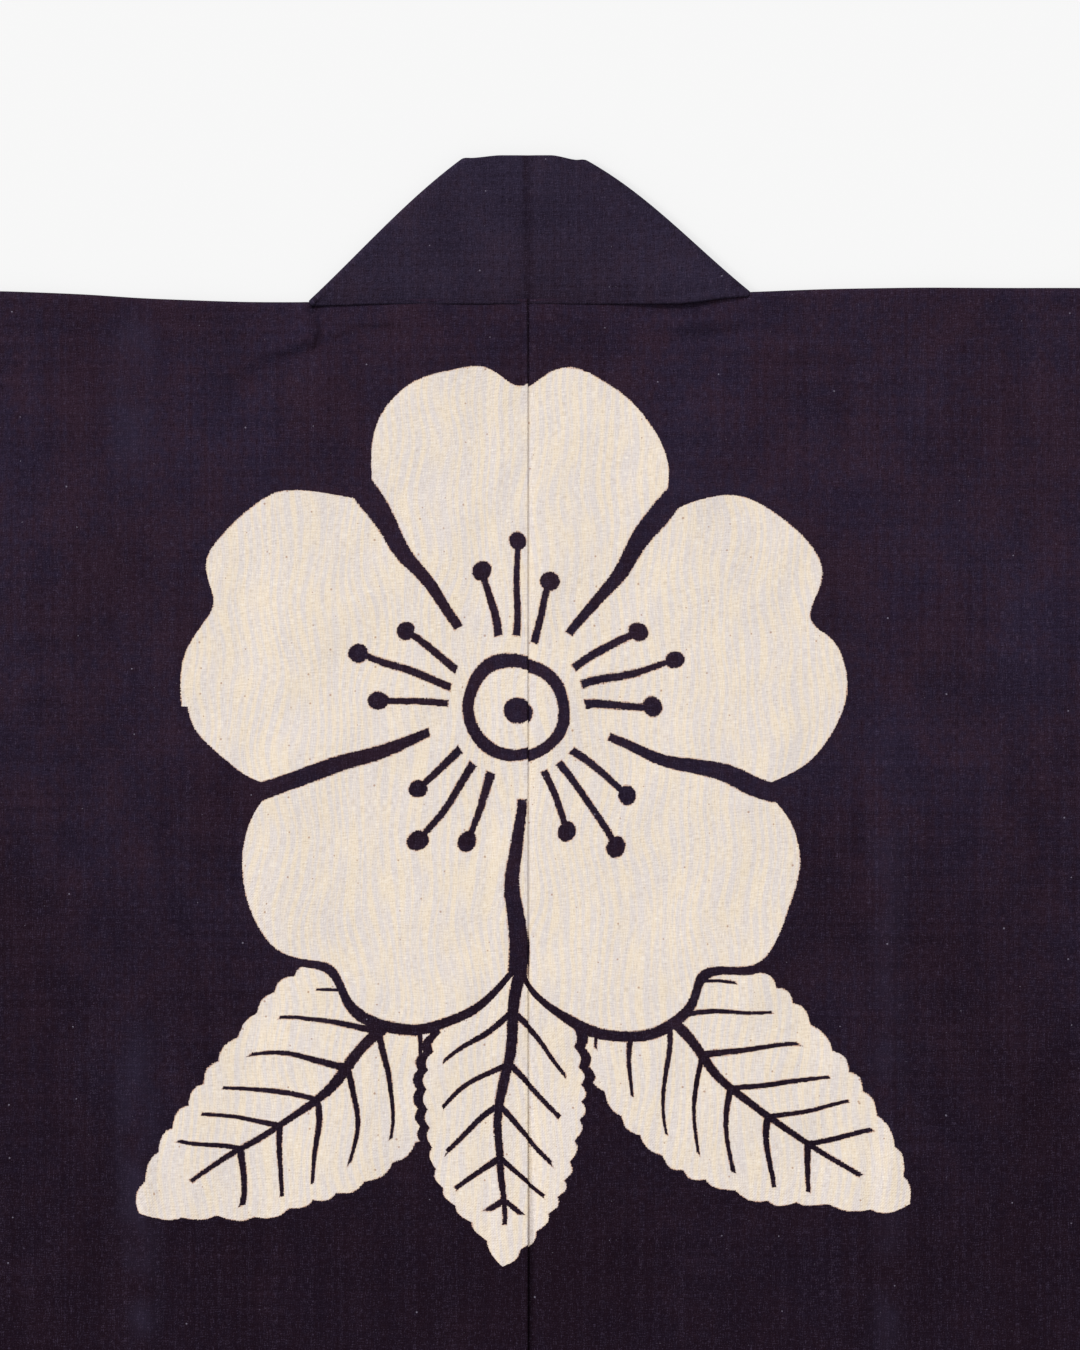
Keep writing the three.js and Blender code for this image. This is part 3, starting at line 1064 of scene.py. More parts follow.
@dataclass
class HemStitches:
    """A row of small thread pricks along a hem, each a short bowed stitch of twisted thread."""

    name: str
    lay: Lay
    start: tuple[float, float]
    end: tuple[float, float]
    seed: int
    pitch: float = 7.5
    length: float = 1.9
    radius: float = 0.2
    bow: float = 0.3
    sink: float = 0.1
    rings: int = 7
    spokes: int = 6

    def build(self, finish: bpy.types.Material) -> bpy.types.Object:
        """Make all the stitches of the row as one mesh, and dress it.

        A stitch is a tube round the line from -length / 2 to length / 2, raised by
        bow * (1 - (2t)^2) in its middle, whose radius closes at both ends as half an ellipse.

        Args:
            finish: Material of the thread.

        Returns:
            The row of stitches.
        """
        rng = np.random.default_rng(self.seed)
        run = np.subtract(self.end, self.start)
        total = float(np.hypot(*run))
        count = int(total / self.pitch)
        heading = run / total
        along = (np.arange(count) + 0.5) * self.pitch + rng.uniform(-0.7, 0.7, count)
        place = self.start + heading * along[:, None]
        place = place + rng.uniform(-0.35, 0.35, (count, 2))
        turn = rng.uniform(-0.22, 0.22, count) + math.atan2(heading[1], heading[0])
        length = self.length * rng.uniform(0.75, 1.2, count)
        surface = self.lay.upper(place[:, 0], place[:, 1]) + self.lay.cloth / 2.0 + Hem().rise

        rings, spokes = self.rings, self.spokes
        t = np.linspace(-0.5, 0.5, rings)
        spin = np.linspace(0.0, 2.0 * np.pi, spokes, endpoint=False)
        swell = self.radius * np.sqrt(np.maximum(1.0 - (2.0 * t) ** 2, 0.02))
        forward = np.stack([np.cos(turn), np.sin(turn)], -1)[:, None, None]
        sideways = np.stack([-np.sin(turn), np.cos(turn)], -1)[:, None, None]
        reach = (length[:, None] * t)[:, :, None, None]
        ring = (swell[:, None] * np.cos(spin))[None, :, :, None]
        flat = place[:, None, None] + forward * reach + sideways * ring
        rise = self.bow * (1.0 - (2.0 * t) ** 2)[:, None] - self.sink
        rise = rise + swell[:, None] * np.sin(spin)
        points = np.concatenate([flat, (surface[:, None, None] + rise)[..., None]], -1)

        index = np.arange(count * rings * spokes).reshape(count, rings, spokes)
        turned = np.roll(index, -1, axis=2)
        walls = [index[:, :-1], index[:, 1:], turned[:, 1:], turned[:, :-1]]
        faces = np.stack(walls, -1).reshape(-1, 4)
        quad = [[0, 1, 2, 3], [0, 3, 4, 5]]
        low = index[:, 0][:, quad].reshape(-1, 4)
        high = index[:, -1][:, quad].reshape(-1, 4)[:, ::-1]
        piece = mesh_object(self.name, points.reshape(-1, 3), np.concatenate([faces, low, high]))
        dress(piece, finish)
        return piece


# Shader reckoning


def math_step(operation: str, turned: bool = False) -> Callable[..., "Signal"]:
    """Make a method of Signal that adds one Math node.

    Args:
        operation: The node's operation.
        turned: Whether the other term stands before the signal itself.

    Returns:
        The method. It takes the other term, if the operation has one.
    """

    def method(self: "Signal", *others: "Signal | float") -> "Signal":
        """Reckon with this signal and the other terms."""
        terms = (*others, self) if turned else (self, *others)
        return self.reckon(operation, *terms)

    return method


class Signal:
    """A number that varies over a surface: a node's socket that Python can reckon with."""

    def __init__(self, tree: bpy.types.NodeTree, socket: bpy.types.NodeSocket) -> None:
        """Keep the socket, and the tree that new Math nodes go into."""
        self.tree = tree
        self.socket = socket

    def reckon(self, operation: str, *terms: "Signal | float") -> "Signal":
        """Add one Math node.

        Args:
            operation: The node's operation.
            terms: Its inputs in order.

        Returns:
            The node's result.
        """
        node = self.tree.nodes.new("ShaderNodeMath")
        node.operation = operation
        for socket, term in zip(node.inputs, terms):
            if isinstance(term, Signal):
                self.tree.links.new(term.socket, socket)
            else:
                socket.default_value = term
        return Signal(self.tree, node.outputs[0])

    __add__ = math_step("ADD")
    __sub__ = math_step("SUBTRACT")
    __rsub__ = math_step("SUBTRACT", turned=True)
    __mul__ = math_step("MULTIPLY")
    __truediv__ = math_step("DIVIDE")
    __pow__ = math_step("POWER")
    __abs__ = math_step("ABSOLUTE")
    # 1 where this is less than the limit, else 0
    __lt__ = math_step("LESS_THAN")
    least = math_step("MINIMUM")
    most = math_step("MAXIMUM")
    # Sine, of radians
    wave = math_step("SINE")
    # The part past the whole number below, and the nearest whole number
    fraction = math_step("FRACT")
    nearest = math_step("ROUND")
    # e to the power of this
    exponent = math_step("EXPONENT")
    # Angle in radians, from the across axis, of the point at this across and the other along
    bearing = math_step("ARCTAN2", turned=True)

    def counted(self, pitch: float, shift: float) -> "Signal":
        """How many pitches this is, plus a shift."""
        return self.reckon("MULTIPLY_ADD", self, 1.0 / pitch, shift)

    def wrapped(self, half: float) -> "Signal":
        """Brought into the range from -half to half by whole turns of twice half."""
        return self.reckon("WRAP", self, half, -half)

    def rise(self, low: float, high: float) -> "Signal":
        """Smooth step: 0 at low, 1 at high. With low above high it falls.

        Args:
            low: Where it leaves 0.
            high: Where it reaches 1.

        Returns:
            The step.
        """
        node = self.tree.nodes.new("ShaderNodeMapRange")
        node.interpolation_type = "SMOOTHSTEP"
        self.tree.links.new(self.socket, node.inputs["Value"])
        node.inputs["From Min"].default_value = min(low, high)
        node.inputs["From Max"].default_value = max(low, high)
        node.inputs["To Min"].default_value = float(low > high)
        node.inputs["To Max"].default_value = float(low < high)
        return Signal(self.tree, node.outputs["Result"])


Colour = tuple[float, float, float]
Paint = Colour | bpy.types.NodeSocket


def linear(red: float, green: float, blue: float) -> Colour:
    """A colour given as 0 to 255 display values, in the linear light that shaders use.

    Args:
        red: Display value of red.
        green: Of green.
        blue: Of blue.

    Returns:
        The colour, each part from 0 to 1.
    """
    share = np.array([red, green, blue]) / 255.0
    light = np.where(share <= 0.04045, share / 12.92, ((share + 0.055) / 1.055) ** 2.4)
    return tuple(float(value) for value in light)


def opaque(colour: Paint) -> object:
    """A plain colour with the full fourth value that sockets ask for. A socket stays as it is."""
    return (*colour, 1.0) if isinstance(colour, tuple) else colour


class DyeBench:
    """One material on the bench: adds its nodes and joins them."""

    def __init__(self, name: str) -> None:
        """Start an empty material.

        Args:
            name: Its name.
        """
        self.material = bpy.data.materials.new(name)
        self.material.use_nodes = True
        self.tree = self.material.node_tree
        self.tree.nodes.clear()

    def node(
        self, kind: str, settings: dict[str, object], inputs: dict[str | int, object]
    ) -> bpy.types.Node:
        """Add any node.

        Args:
            kind: The node's type.
            settings: Its own properties, set first.
            inputs: Socket name or number to a Signal, another node's socket, or a plain value.

        Returns:
            The new node.
        """
        made = self.tree.nodes.new(kind)
        for key, value in settings.items():
            setattr(made, key, value)
        for key, value in inputs.items():
            socket = made.inputs[key]
            if isinstance(value, Signal):
                self.tree.links.new(value.socket, socket)
            elif isinstance(value, bpy.types.NodeSocket):
                self.tree.links.new(value, socket)
            else:
                socket.default_value = value
        return made

    def signal(self, socket: bpy.types.NodeSocket) -> Signal:
        """Wrap a node's output."""
        return Signal(self.tree, socket)

    def cut_place(self) -> tuple[Signal, Signal]:
        """Place on the flat cut piece, across and along, in millimetres.

        Returns:
            Across, and along.
        """
        chart = self.node("ShaderNodeUVMap", {"uv_map": "cut"}, {})
        parts = self.node("ShaderNodeSeparateXYZ", {}, {"Vector": chart.outputs["UV"]})
        return self.signal(parts.outputs["X"]) / MM, self.signal(parts.outputs["Y"]) / MM

    def spot(
        self, u: Signal, v: Signal, wide: float, tall: float, seed: float
    ) -> bpy.types.NodeSocket:
        """Place on the cloth in steps of wide by tall millimetres, shifted by a seed."""
        place = {"X": u.counted(wide, seed), "Y": v.counted(tall, -seed)}
        return self.node("ShaderNodeCombineXYZ", {}, place).outputs[0]

    def noise(
        self,
        u: Signal,
        v: Signal,
        wide: float,
        tall: float,
        seed: float = 0.0,
        detail: float = 2.0,
        rough: float = 0.5,
    ) -> Signal:
        """Soft noise, from 0 to 1 about 0.5, whose patches are wide by tall millimetres.

        Args:
            u: Across the cloth.
            v: Along the cloth.
            wide: Patch size across.
            tall: Patch size along.
            seed: Shifts the pattern, so that no two are alike.
            detail: Octaves of finer noise.
            rough: Strength of the finer noise.

        Returns:
            The noise.
        """
        spot = self.spot(u, v, wide, tall, seed)
        made = self.node(
            "ShaderNodeTexNoise",
            {"noise_dimensions": "2D"},
            {"Vector": spot, "Scale": 1.0, "Detail": detail, "Roughness": rough},
        )
        return self.signal(made.outputs["Fac"])

    def flecks(
        self, u: Signal, v: Signal, cell: float, size: float, share: float, seed: float
    ) -> Signal:
        """Scattered round specks, one at most in each cell.

        Args:
            u: Across the cloth.
            v: Along the cloth.
            cell: Mean distance between flecks, if every cell had one.
            size: Radius of the largest.
            share: Share of the cells that have one.
            seed: Shifts the pattern.

        Returns:
            Distance in from the edge of a speck, above 0 inside.
        """
        made = self.node(
            "ShaderNodeTexVoronoi",
            {"voronoi_dimensions": "2D", "feature": "F1"},
            {"Vector": self.spot(u, v, cell, cell, seed), "Scale": 1.0, "Randomness": 1.0},
        )
        chance = self.node("ShaderNodeSeparateXYZ", {}, {"Vector": made.outputs["Color"]})
        luck = self.signal(chance.outputs["X"])
        radius = (1.0 - luck / share).most(0.0) ** 0.5 * size
        return radius - self.signal(made.outputs["Distance"]) * cell

    def mix(self, share: Signal | float, first: Paint, second: Paint) -> bpy.types.NodeSocket:
        """Mix two colours: the first at share 0 and the second at 1."""
        ends = {6: opaque(first), 7: opaque(second)}
        return self.node("ShaderNodeMix", {"data_type": "RGBA"}, {0: share, **ends}).outputs[2]

    def finish(
        self,
        colour: Paint,
        roughness: Signal | float,
        height: Signal | None,
        relief: float,
        constants: dict[str, object],
    ) -> bpy.types.Material:
        """Join colour, roughness and relief to the shader and end the material.

        Args:
            colour: Base colour, or a socket that gives it.
            roughness: Roughness, a number or a signal.
            height: Relief in millimetres.
            relief: Strength of the relief.
            constants: Values set on the shader's own sockets.

        Returns:
            The finished material.
        """
        inputs = {"Base Color": opaque(colour), "Roughness": roughness, **constants}
        if height is not None:
            raised = {"Height": height, "Strength": relief, "Distance": MM}
            inputs["Normal"] = self.node("ShaderNodeBump", {}, raised).outputs["Normal"]
        shader = self.node("ShaderNodeBsdfPrincipled", {}, inputs)
        self.node("ShaderNodeOutputMaterial", {}, {"Surface": shader.outputs["BSDF"]})
        return self.material


# Resist-dyed blossom


@dataclass(frozen=True)
class Leaf:
    """One leaf of the design: where its stalk starts, where it points, and its sizes."""

    base: tuple[float, float]
    heading: float
    length: float
    half_width: float
    bow: float
    teeth: int = 17
    vein_pitch: float = 19.0

    def draw(self, u: Signal, v: Signal) -> tuple[Signal, Signal]:
        """Reckon the leaf.

        With t the share of the way along and s the distance from the bowed axis, the leaf is
        where |s| is less than half_width * 2.0 t^0.7 (1 - t)^0.8, its edge in small scallops.
        The midrib tapers to the tip, and side veins curve away from it.

        Args:
            u: Across the cloth, in millimetres.
            v: Along the cloth.

        Returns:
            Distance in from the leaf's edge, and distance in from the edge of its veins, which
            are above 0 inside.
        """
        turn = math.radians(self.heading)
        ahead = (u - self.base[0]) * math.cos(turn) + (v - self.base[1]) * math.sin(turn)
        t = (ahead / self.length).most(0.0).least(1.0)
        left = (v - self.base[1]) * math.cos(turn) - (u - self.base[0]) * math.sin(turn)
        off = left - t * (1.0 - t) * (4.0 * self.bow)
        from_axis = abs(off)
        tooth = 1.0 - abs((t * (math.pi * self.teeth)).wave())
        half = t**0.7 * (1.0 - t) ** 0.8 * (2.0 * self.half_width) - tooth * 1.9
        edge = (half - from_axis).least(ahead - 0.5).least(self.length - ahead)

        midrib = (1.0 - t) * 2.4 + 0.7 - from_axis
        midrib = midrib.least((0.88 - t) * self.length)
        slant = (ahead - from_axis * 0.7 - from_axis * from_axis * 0.007) / self.vein_pitch
        stripe = abs(slant.fraction() - 0.5) * self.vein_pitch
        side = (1.65 - from_axis * 0.022 - stripe).least(half * 0.76 - from_axis)
        side = side.least((0.84 - t) * self.length)
        return edge, midrib.most(side)


@dataclass(frozen=True)
class BlossomResist:
    """A five-petalled blossom over three leaves, kept from the dye with rice paste."""

    centre: tuple[float, float] = (-4.0, 224.0)
    reach: float = 140.0
    middle_leaf: Leaf = Leaf((0.0, 126.0), 266.0, 131.0, 47.0, -6.0)
    side_leaf: Leaf = Leaf((17.0, 151.0), 317.5, 190.0, 60.0, -14.5)
    mirror: float = -1.0
    mirror_drop: float = 5.0
    gap: float = 4.6
    shift_across: float = 0.5
    shift_along: float = -1.1
    unevenness: float = 6.0

    def petals(self, u: Signal, v: Signal) -> tuple[Signal, Signal]:
        """Reckon the blossom.

        A petal spans 72 degrees. With a the angle from its middle, it reaches out to
        reach * (1 - 0.27 |a/36|^3.2 - 0.075 exp(-(a/5)^2)), a round lobe with a notch at its tip.

        Args:
            u: Across the cloth, in millimetres.
            v: Along the cloth.

        Returns:
            Distance in from the outline, and distance in from the edges of the dark lines
            between and on the petals, which are above 0 inside.
        """
        across, along = u - self.centre[0], v - self.centre[1]
        far = (across * across + along * along) ** 0.5
        turn = across.bearing(along) * (180.0 / math.pi) - 90.0
        angle = turn.wrapped(36.0)
        number = ((turn - angle) / 72.0).nearest()
        vary = (number * 2.3 + 0.7).wave() * 0.022 + 1.0
        lobe = (abs(angle) / 36.0) ** 3.2 * 0.27
        spread = angle / 5.0
        notch = (spread * spread * -1.0).exponent() * 0.075
        outline = (1.0 - lobe - notch) * vary * self.reach - far

        between = (turn + 36.0).wrapped(36.0) * (math.pi / 180.0)
        off = abs(between.wave() * far)
        lines = (far * 0.034 + 0.5 - off).least(far - 38.0)
        ring = (2.5 - abs(far - 19.0)).most(5.4 - far)
        spoke = (angle / 15.0).nearest().least(1.0).most(-1.0)
        end = 68.0 - abs(spoke) * 12.0 + spoke * 2.0
        beside = abs(((angle - spoke * 15.0) * (math.pi / 180.0)).wave() * far)
        stroke = (1.95 - far * 0.011 - beside).least(far - 28.0).least(end - far)
        gone = far - end
        dot = 3.9 - (beside * beside + gone * gone) ** 0.5
        ring = ring.most(stroke).most(dot)
        return outline, lines.most(ring)

    def mask(self, bench: DyeBench, u: Signal, v: Signal) -> Signal:
        """Distance in from the edge of the undyed cloth, above 0 where it is cream.

        The two halves of the design were dyed on separate lengths, so the left one sits a little
        off. The leaves pass under the blossom, and the outer pair, one the mirror of the other,
        under the middle one.

        Args:
            bench: Where the nodes go.
            u: Across the cloth, in millimetres.
            v: Along the cloth.

        Returns:
            The distance, in millimetres.
        """
        left = u < 0.0
        u = u + left * self.shift_across
        v = v + left * self.shift_along
        sideways = bench.noise(u, v, 33.0, 33.0, seed=3.1, detail=0.0) - 0.5
        endways = bench.noise(u, v, 31.0, 31.0, seed=8.7, detail=0.0) - 0.5
        u = u + sideways * self.unevenness
        v = v + endways * self.unevenness
        covered, lines = self.petals(u, v)
        cream = covered.least(lines * -1.0)
        beside, lowered = abs(u - self.mirror) + self.mirror, v + left * self.mirror_drop
        for edge, veins in (self.middle_leaf.draw(u, v), self.side_leaf.draw(beside, lowered)):
            blade = edge.least(veins * -1.0).least(covered * -1.0 - self.gap)
            cream = cream.most(blade)
            covered = covered.most(edge)
        return cream


# Finishes


@dataclass(frozen=True)
class FoldWear:
    """A lengthwise line on the cut cloth where folding has rubbed the dye paler and bluer."""

    across: float
    low: float
    high: float
    width: float
    strength: float

    def draw(self, u: Signal, v: Signal) -> Signal:
        """Strength of the wear: a soft band beside the line, easing out towards both ends."""
        ends = ((v - self.low) * (self.high - v)).rise(0.0, 0.2 * (self.high - self.low) ** 2)
        return abs(u - self.across).rise(self.width, 0.0) * ends * self.strength


@dataclass(frozen=True)
class ThreadTones:
    """Tones that the dyed and the undyed cloth share.

    Attributes:
        yarn: Tone of the single lengthwise threads, from 0 to 1.
        pick: Tone of the crosswise ones.
        speckle: Small uneven spots, from 0 to 1.
        husks: Distance in from the edge of a seed husk, in millimetres.
    """

    yarn: Signal
    pick: Signal
    speckle: Signal
    husks: Signal


@dataclass(frozen=True)
class IndigoCotton:
    """Hand-dyed indigo on plain-woven narrow cotton.

    Attributes:
        name: The finish's name.
        blue: The dye where it took blue.
        plum: The dye where it took reddish.
        deep_dye_and_shade: The dye at its darkest, also used for painted shade.
        glint: The lit top of a single thread.
        faded: The dye rubbed thin along a fold.
        lint: Pale fluff on it.
        thread: Distance between threads.
        streak_pitch: Distance between the undyed cotton's lengthwise streaks.
        resist: The undyed design, if the piece has one.
        wear: Lines that folding has rubbed.
        lean: From 0 to 1, how far the piece leans to the blue dye.
        painted_shade_falloff: Heights on the cut where painted shade darkens the dye least and
            most.
        seam_shade: Reach and strength of the darker line along the middle of the cut.
        cream_warm: The undyed cotton's yellower threads.
        cream_cool: Its greyer threads.
        cream_gap_shade: Painted shade in the gaps between its threads.
        cream_top_highlight: Painted highlight on their tops.
        fringe: Where the dye crept under the paste.
        husk: Specks of seed husk.
    """

    name: str
    blue: Colour = linear(42, 35, 55)
    plum: Colour = linear(49, 33, 46)
    deep_dye_and_shade: Colour = linear(21, 10, 19)
    glint: Colour = linear(84, 72, 94)
    faded: Colour = linear(66, 60, 84)
    lint: Colour = linear(122, 116, 132)
    thread: float = 0.62
    resist: BlossomResist | None = None
    wear: tuple[FoldWear, ...] = ()
    lean: float = 0.0
    painted_shade_falloff: tuple[float, float] | None = None
    seam_shade: tuple[float, float] | None = None
    streak_pitch: float = 3.6
    cream_warm: Colour = linear(235, 219, 198)
    cream_cool: Colour = linear(223, 213, 209)
    cream_gap_shade: Colour = linear(196, 178, 160)
    cream_top_highlight: Colour = linear(244, 234, 222)
    fringe: Colour = linear(186, 132, 104)
    husk: Colour = linear(160, 112, 78)

    def dyed(
        self, bench: DyeBench, u: Signal, v: Signal, threads: ThreadTones
    ) -> tuple[Paint, Signal]:
        """The dyed cloth.

        Args:
            bench: Where the nodes go.
            u: Across the cloth, in millimetres.
            v: Along the cloth.
            threads: Tones shared with the undyed cloth.

        Returns:
            Its colour, and how pale it has become, from 0 to 1, for the roughness.
        """
        clouds = bench.noise(u, v, 60.0, 70.0, seed=1.3, detail=1.0)
        patches = bench.noise(u, v, 19.0, 24.0, seed=6.2, detail=1.0)
        warp = bench.noise(u, v, 1.5, 90.0, seed=2.4, detail=0.0)
        weft = bench.noise(u, v, 90.0, 1.4, seed=4.8, detail=0.0)
        fuzz = bench.noise(u, v, 0.55, 0.55, seed=12.4, detail=1.0, rough=0.7)

        tint = clouds * 0.3 + patches * 0.36 + threads.speckle * 0.34 + (warp - 0.5) * 0.1
        tint = tint + self.lean * 0.4
        colour = bench.mix(tint.rise(0.34, 0.7), self.plum, self.blue)
        # Painted shade: the dye darker towards the bottom of the cut, as light falls off from the
        # top, added to the dye's own uneven depth.
        low = v.rise(*self.painted_shade_falloff) * 0.68 if self.painted_shade_falloff else 0.0
        depth = (patches - 0.5) * 0.45 + (weft - 0.5) * 0.3 - (clouds - 0.5) * 0.3 + low
        # The darkest dye, which also carries the painted shade that falls off towards the bottom.
        colour = bench.mix(depth.rise(-0.45, 0.75) * 0.85, colour, self.deep_dye_and_shade)
        if self.seam_shade:
            reach, strength = self.seam_shade
            colour = bench.mix(abs(u).rise(reach, 0.3) * strength, colour, self.deep_dye_and_shade)
        grain = (threads.yarn - 0.5) * 0.4 + (threads.pick - 0.5) * 0.36
        grain = grain + (fuzz - 0.5) * 0.8 + (warp - 0.5) * 0.15
        colour = bench.mix(grain.rise(0.0, 0.5) * 0.5, colour, self.glint)
        colour = bench.mix(grain.rise(0.0, -0.42) * 0.85, colour, self.deep_dye_and_shade)
        if self.wear:
            drawn = [line.draw(u, v) for line in self.wear]
            worn = functools.reduce(Signal.most, drawn) * patches.rise(0.25, 0.7)
            colour = bench.mix(worn, colour, self.faded)

        bits = bench.flecks(u, v, 24.0, 0.4, 0.4, seed=2.9).rise(-0.06, 0.12)
        dust = (threads.husks - 0.28).rise(-0.06, 0.12) * 0.45
        pale = bits.most(dust)
        return bench.mix(pale * 0.75, colour, self.lint), pale

    def undyed(self, bench: DyeBench, u: Signal, v: Signal, threads: ThreadTones) -> Paint:
        """The cream cloth: cool and warm threads in wavering lengthwise streaks, and seed husks.

        Args:
            bench: Where the nodes go.
            u: Across the cloth, in millimetres.
            v: Along the cloth.
            threads: Tones shared with the dyed cloth.

        Returns:
            Its colour.
        """
        shade = (threads.yarn - 0.5) * 0.55 + (threads.pick - 0.5) * 0.5
        sway = (bench.noise(u, v, 30.0, 34.0, seed=18.6, detail=0.0) - 0.5) * 9.0
        streak = bench.noise(u + sway, v, 1.7, 55.0, seed=20.2, detail=1.0)
        patch = bench.noise(u + sway, v, 3.0, 16.0, seed=23.1, detail=0.0)
        beat = ((u + sway) * (2.0 * math.pi / self.streak_pitch)).wave() * (patch * 0.22)
        tone = streak * 0.6 + patch * 0.4 + beat
        colour = bench.mix(tone.rise(0.3, 0.66), self.cream_warm, self.cream_cool)
        # Painted shade in the gaps between threads, and painted highlight on their tops.
        colour = bench.mix(shade.rise(0.0, 0.34) * 0.5, colour, self.cream_gap_shade)
        colour = bench.mix(shade.rise(0.0, -0.34) * 0.8, colour, self.cream_top_highlight)
        return bench.mix(threads.husks.rise(-0.06, 0.12) * 0.62, colour, self.husk)

    def weave(self, bench: DyeBench, u: Signal, v: Signal) -> Signal:
        """Relief of a plain weave: over and under by turns, on threads of uneven thickness.

        Args:
            bench: Where the nodes go.
            u: Across the cloth, in millimetres.
            v: Along the cloth.

        Returns:
            The relief, in millimetres.
        """
        rate = math.pi / self.thread
        plain = (u * rate).wave() * (v * rate).wave()
        slub = bench.noise(u, v, 2.2, 0.85, seed=28.4, detail=0.0)
        return plain * 0.045 + (slub - 0.5) * 0.2

    def material(self) -> bpy.types.Material:
        """Build the finish.

        Returns:
            The material.
        """
        bench = DyeBench(self.name)
        u, v = bench.cut_place()
        threads = ThreadTones(
            yarn=bench.noise(u, v, 0.36, 3.2, seed=7.7, detail=0.0),
            pick=bench.noise(u, v, 3.2, 0.36, seed=9.9, detail=0.0),
            speckle=bench.noise(u, v, 3.2, 4.2, seed=11.9, detail=1.0),
            husks=bench.flecks(u, v, 9.0, 0.5, 0.38, seed=35.0),
        )
        colour, pale = self.dyed(bench, u, v, threads)
        roughness = 0.94 - pale * 0.08
        if self.resist:
            jag = (threads.yarn + threads.pick - 1.0) * 0.6
            inside = self.resist.mask(bench, u, v) + jag
            cream = self.undyed(bench, u, v, threads)
            rim = inside.rise(0.6, 0.0) * (threads.speckle.rise(0.35, 0.65) * 0.5 + 0.25)
            cream = bench.mix(rim, cream, self.fringe)
            colour = bench.mix(inside.rise(-0.15, 0.15), colour, cream)
        return bench.finish(
            colour,
            roughness,
            self.weave(bench, u, v),
            0.7,
            {"Specular IOR Level": 0.04},
        )


@dataclass(frozen=True)
class SewingThread:
    """Matt indigo sewing thread."""

    name: str = "indigo_thread"
    colour: Colour = linear(52, 48, 68)
    highlight: Colour = linear(84, 80, 104)

    def material(self) -> bpy.types.Material:
        """Build the finish: fine lengthwise mottling on the object's own coordinates.

        Returns:
            The material.
        """
        bench = DyeBench(self.name)
        place = bench.node("ShaderNodeTexCoord", {}, {}).outputs["Object"]
        mottling = {"Vector": place, "Scale": 2600.0, "Detail": 2.0}
        grain = bench.node("ShaderNodeTexNoise", {}, mottling)
        twist = bench.signal(grain.outputs["Fac"])
        colour = bench.mix(twist.rise(0.35, 0.7), self.colour, self.highlight)
        return bench.finish(colour, 0.85, twist, 0.2, {"Specular IOR Level": 0.2})


@dataclass(frozen=True)
class PaleFloor:
    """Plain pale studio floor, lit a little from beneath so that shadows on it stay faint."""

    name: str = "pale_floor"
    colour: Colour = (0.32, 0.32, 0.32)
    glow: float = 0.6

    def material(self) -> bpy.types.Material:
        """Build the finish.

        Returns:
            The material.
        """
        constants = {
            "Specular IOR Level": 0.0,
            "Emission Color": (1.0, 1.0, 1.0, 1.0),
            "Emission Strength": self.glow,
        }
        return DyeBench(self.name).finish(self.colour, 1.0, None, 0.0, constants)


# Studio


@dataclass(frozen=True)
class Sun:
    """One broad far light: its strength, the way it comes from, and its spread in degrees."""

    name: str
    strength: float
    way: tuple[float, float, float]
    spread: float = 18.0

    def shine(self) -> None:
        """Add the light."""
        data = bpy.data.lights.new(self.name, "SUN")
        data.energy = self.strength
        data.angle = math.radians(self.spread)
        lamp = bpy.data.objects.new(self.name, data)
        lamp.rotation_euler = Vector(self.way).to_track_quat("Z", "Y").to_euler()
        bpy.context.scene.collection.objects.link(lamp)


@dataclass(frozen=True)
class Studio:
    """Camera straight above the upper back, a pale floor, and soft light."""

    aim: tuple[float, float] = (4.9, 238.1)
    view_height: float = 552.2
    distance: float = 2000.0
    cloth_top: float = 4.0
    sensor: float = 36.0
    floor_size: float = 60.0
    floor_gap: float = 0.05
    sky: float = 0.42
    suns: tuple[Sun, ...] = (
        Sun("key", 1.84, (-0.35, 0.76, 1.0)),
        Sun("side", 0.9, (-1.0, 0.1, 0.75)),
    )

    def camera(self) -> None:
        """Place the camera: its lens frames view_height from the distance above the cloth."""
        data = bpy.data.cameras.new("camera")
        data.sensor_width = self.sensor
        data.lens = self.sensor * self.distance / self.view_height
        data.clip_end = 100.0
        camera = bpy.data.objects.new("camera", data)
        camera.location = Vector((*self.aim, self.distance + self.cloth_top)) * MM
        bpy.context.scene.collection.objects.link(camera)
        bpy.context.scene.camera = camera

    def floor(self) -> None:
        """Lay the floor just under the coat."""
        half = self.floor_size / 2.0 / MM
        x, y = np.meshgrid([-half, half], [-half, half])
        points = np.stack([x.ravel(), y.ravel(), np.full(4, -self.floor_gap)], -1)
        floor = mesh_object("floor", points, np.array([[0, 1, 3, 2]]))
        floor.data.materials.append(PaleFloor().material())

    def light(self) -> None:
        """Light the set: an even pale surround, a key light and a weaker side light."""
        world = bpy.data.worlds.new("studio")
        world.use_nodes = True
        surround = world.node_tree.nodes["Background"]
        surround.inputs["Color"].default_value = (1.0, 1.0, 1.0, 1.0)
        surround.inputs["Strength"].default_value = self.sky
        bpy.context.scene.world = world
        for sun in self.suns:
            sun.shine()
        bpy.context.scene.view_settings.view_transform = "Standard"

    def build(self) -> None:
        """Set up camera, floor and light."""
        self.camera()
        self.floor()
        self.light()


# The coat


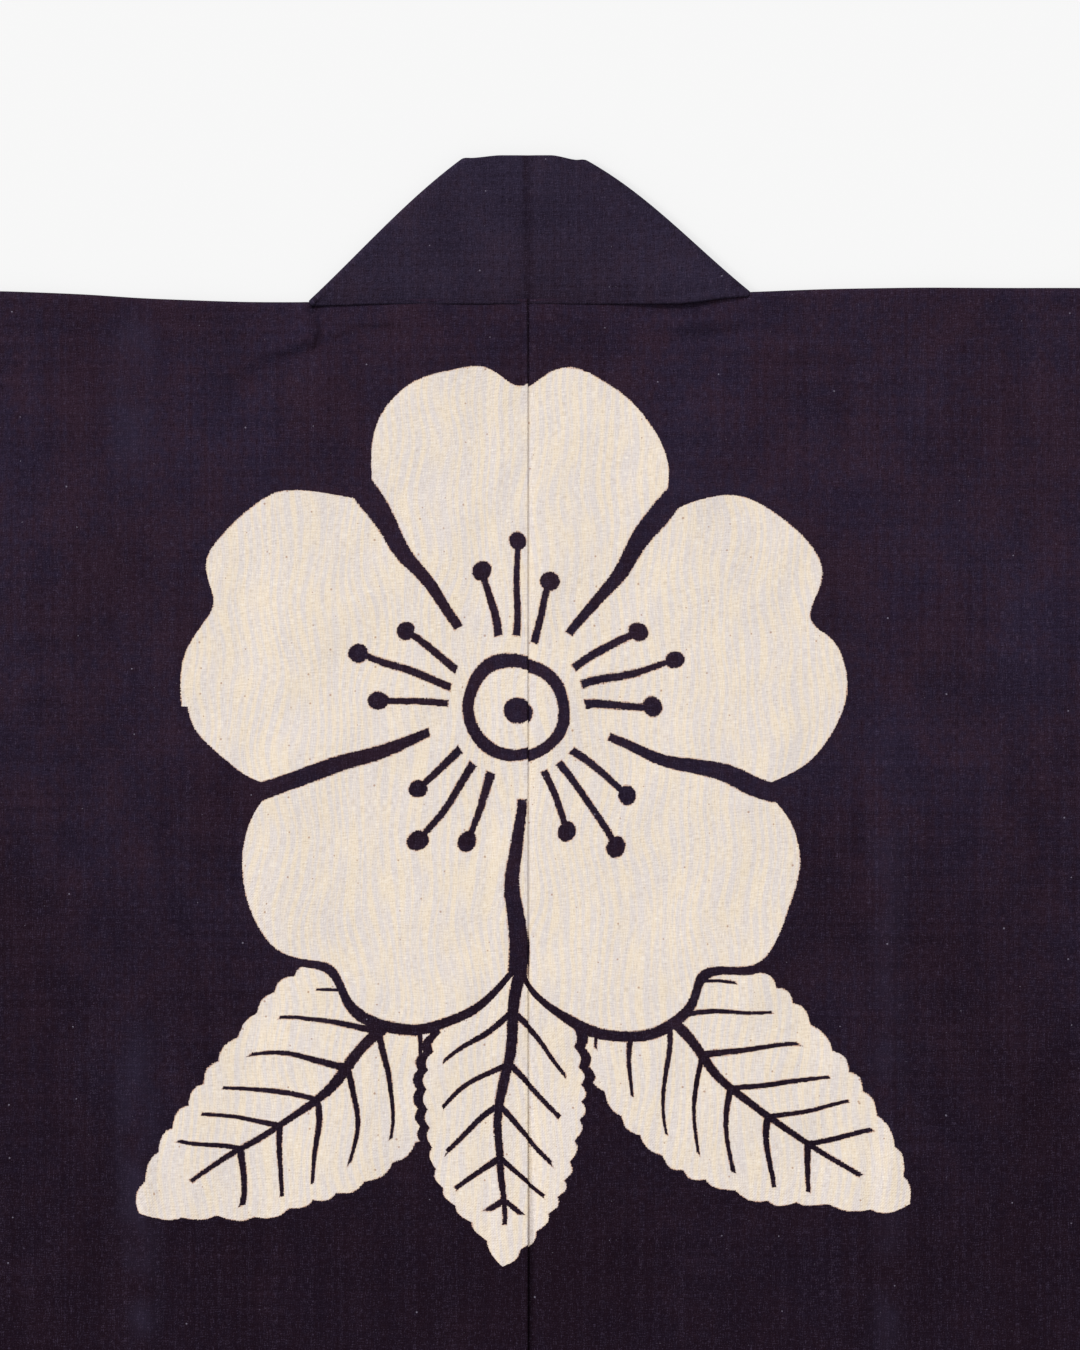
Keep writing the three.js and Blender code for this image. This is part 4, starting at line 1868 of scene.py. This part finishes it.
@dataclass
class HappiCoat:
    """The whole coat: five cut pieces, and the stitches that show on them.

    Attributes:
        lay: How the coat lies.
        stitch_line: From the edge of a hem or cuff to its row of stitches.
        cuff_margin: From the shoulder or underarm fold to the first stitch.
        neck_strip: Width of a body length that is folded away beside the neck and front. Not used.
        front_strip: Its further width towards the hem, as it slants. Not used.
        front_run: Length over which each of the two is reckoned. Not used.
        round_neck: What the band's way round the neck adds to its length. Not used.
    """

    lay: Lay
    stitch_line: float = 9.6
    cuff_margin: float = 8.0
    neck_strip: float = 90.0
    front_strip: float = 66.0
    front_run: float = 430.0
    round_neck: float = 60.0

    def cloth(self) -> dict[str, bpy.types.Material]:
        """Dye the finishes.

        Returns:
            Materials by the kind of piece.
        """
        wear = (
            FoldWear(-160, -90, 110, 14, 0.2),
            FoldWear(-161, 312, 395, 15, 0.17),
            FoldWear(147, -100, 250, 12, 0.13),
        )
        return {
            "body": IndigoCotton(
                "indigo_cotton",
                resist=BlossomResist(),
                wear=wear,
                # Painted shade, darker towards the bottom of the body's cut between these heights.
                painted_shade_falloff=(330.0, -110.0),
                seam_shade=(0.85, 0.65),
            ).material(),
            # The sleeves get painted shade too, darker towards the bottom of the cut.
            "sleeve": IndigoCotton("sleeve_cotton", lean=0.05, painted_shade_falloff=(360.0, -20.0)).material(),
            "collar": IndigoCotton(
                "collar_cotton",
                lean=0.2,
                blue=linear(47, 41, 60),
                plum=linear(50, 39, 54),
                seam_shade=(4.0, 0.4),
            ).material(),
            "thread": SewingThread().material(),
        }

    def build(self) -> list[bpy.types.Object]:
        """Make and dress every piece.

        Returns:
            The pieces.
        """
        cloth = self.cloth()
        lay = self.lay
        hem = lay.hem_y + self.stitch_line
        made = []
        for side in Side:
            seam = side.value * lay.sleeve_seam
            body_row = HemStitches(
                f"hem_stitches_{side.word}", lay, (0.0, hem), (seam, hem), seed=31 + side.value
            ).build(cloth["thread"])
            body = BodyPanel(side, lay).build(cloth["body"])
            cuff = side.value * (lay.cuff - self.stitch_line)
            high = lay.shoulder_y - self.cuff_margin
            low = lay.shoulder_y - lay.sleeve_depth + self.cuff_margin
            cuff_row = HemStitches(
                f"cuff_stitches_{side.word}", lay, (cuff, low), (cuff, high), seed=41 + side.value
            ).build(cloth["thread"])
            sleeve = Sleeve(side, lay).build(cloth["sleeve"])
            made += [body, body_row, sleeve, cuff_row]
        collar = Collar(lay).build(cloth["collar"])
        made.append(collar)
        return made


def main() -> None:
    """Set the studio, build the coat, and log each piece's number of faces."""
    logging.basicConfig(level=logging.INFO, format="%(name)s: %(message)s")
    Studio().build()
    for piece in HappiCoat(Lay.from_frame()).build():
        log.info("%s: %d faces", piece.name, len(piece.data.polygons))


if __name__ == "__main__":
    main()
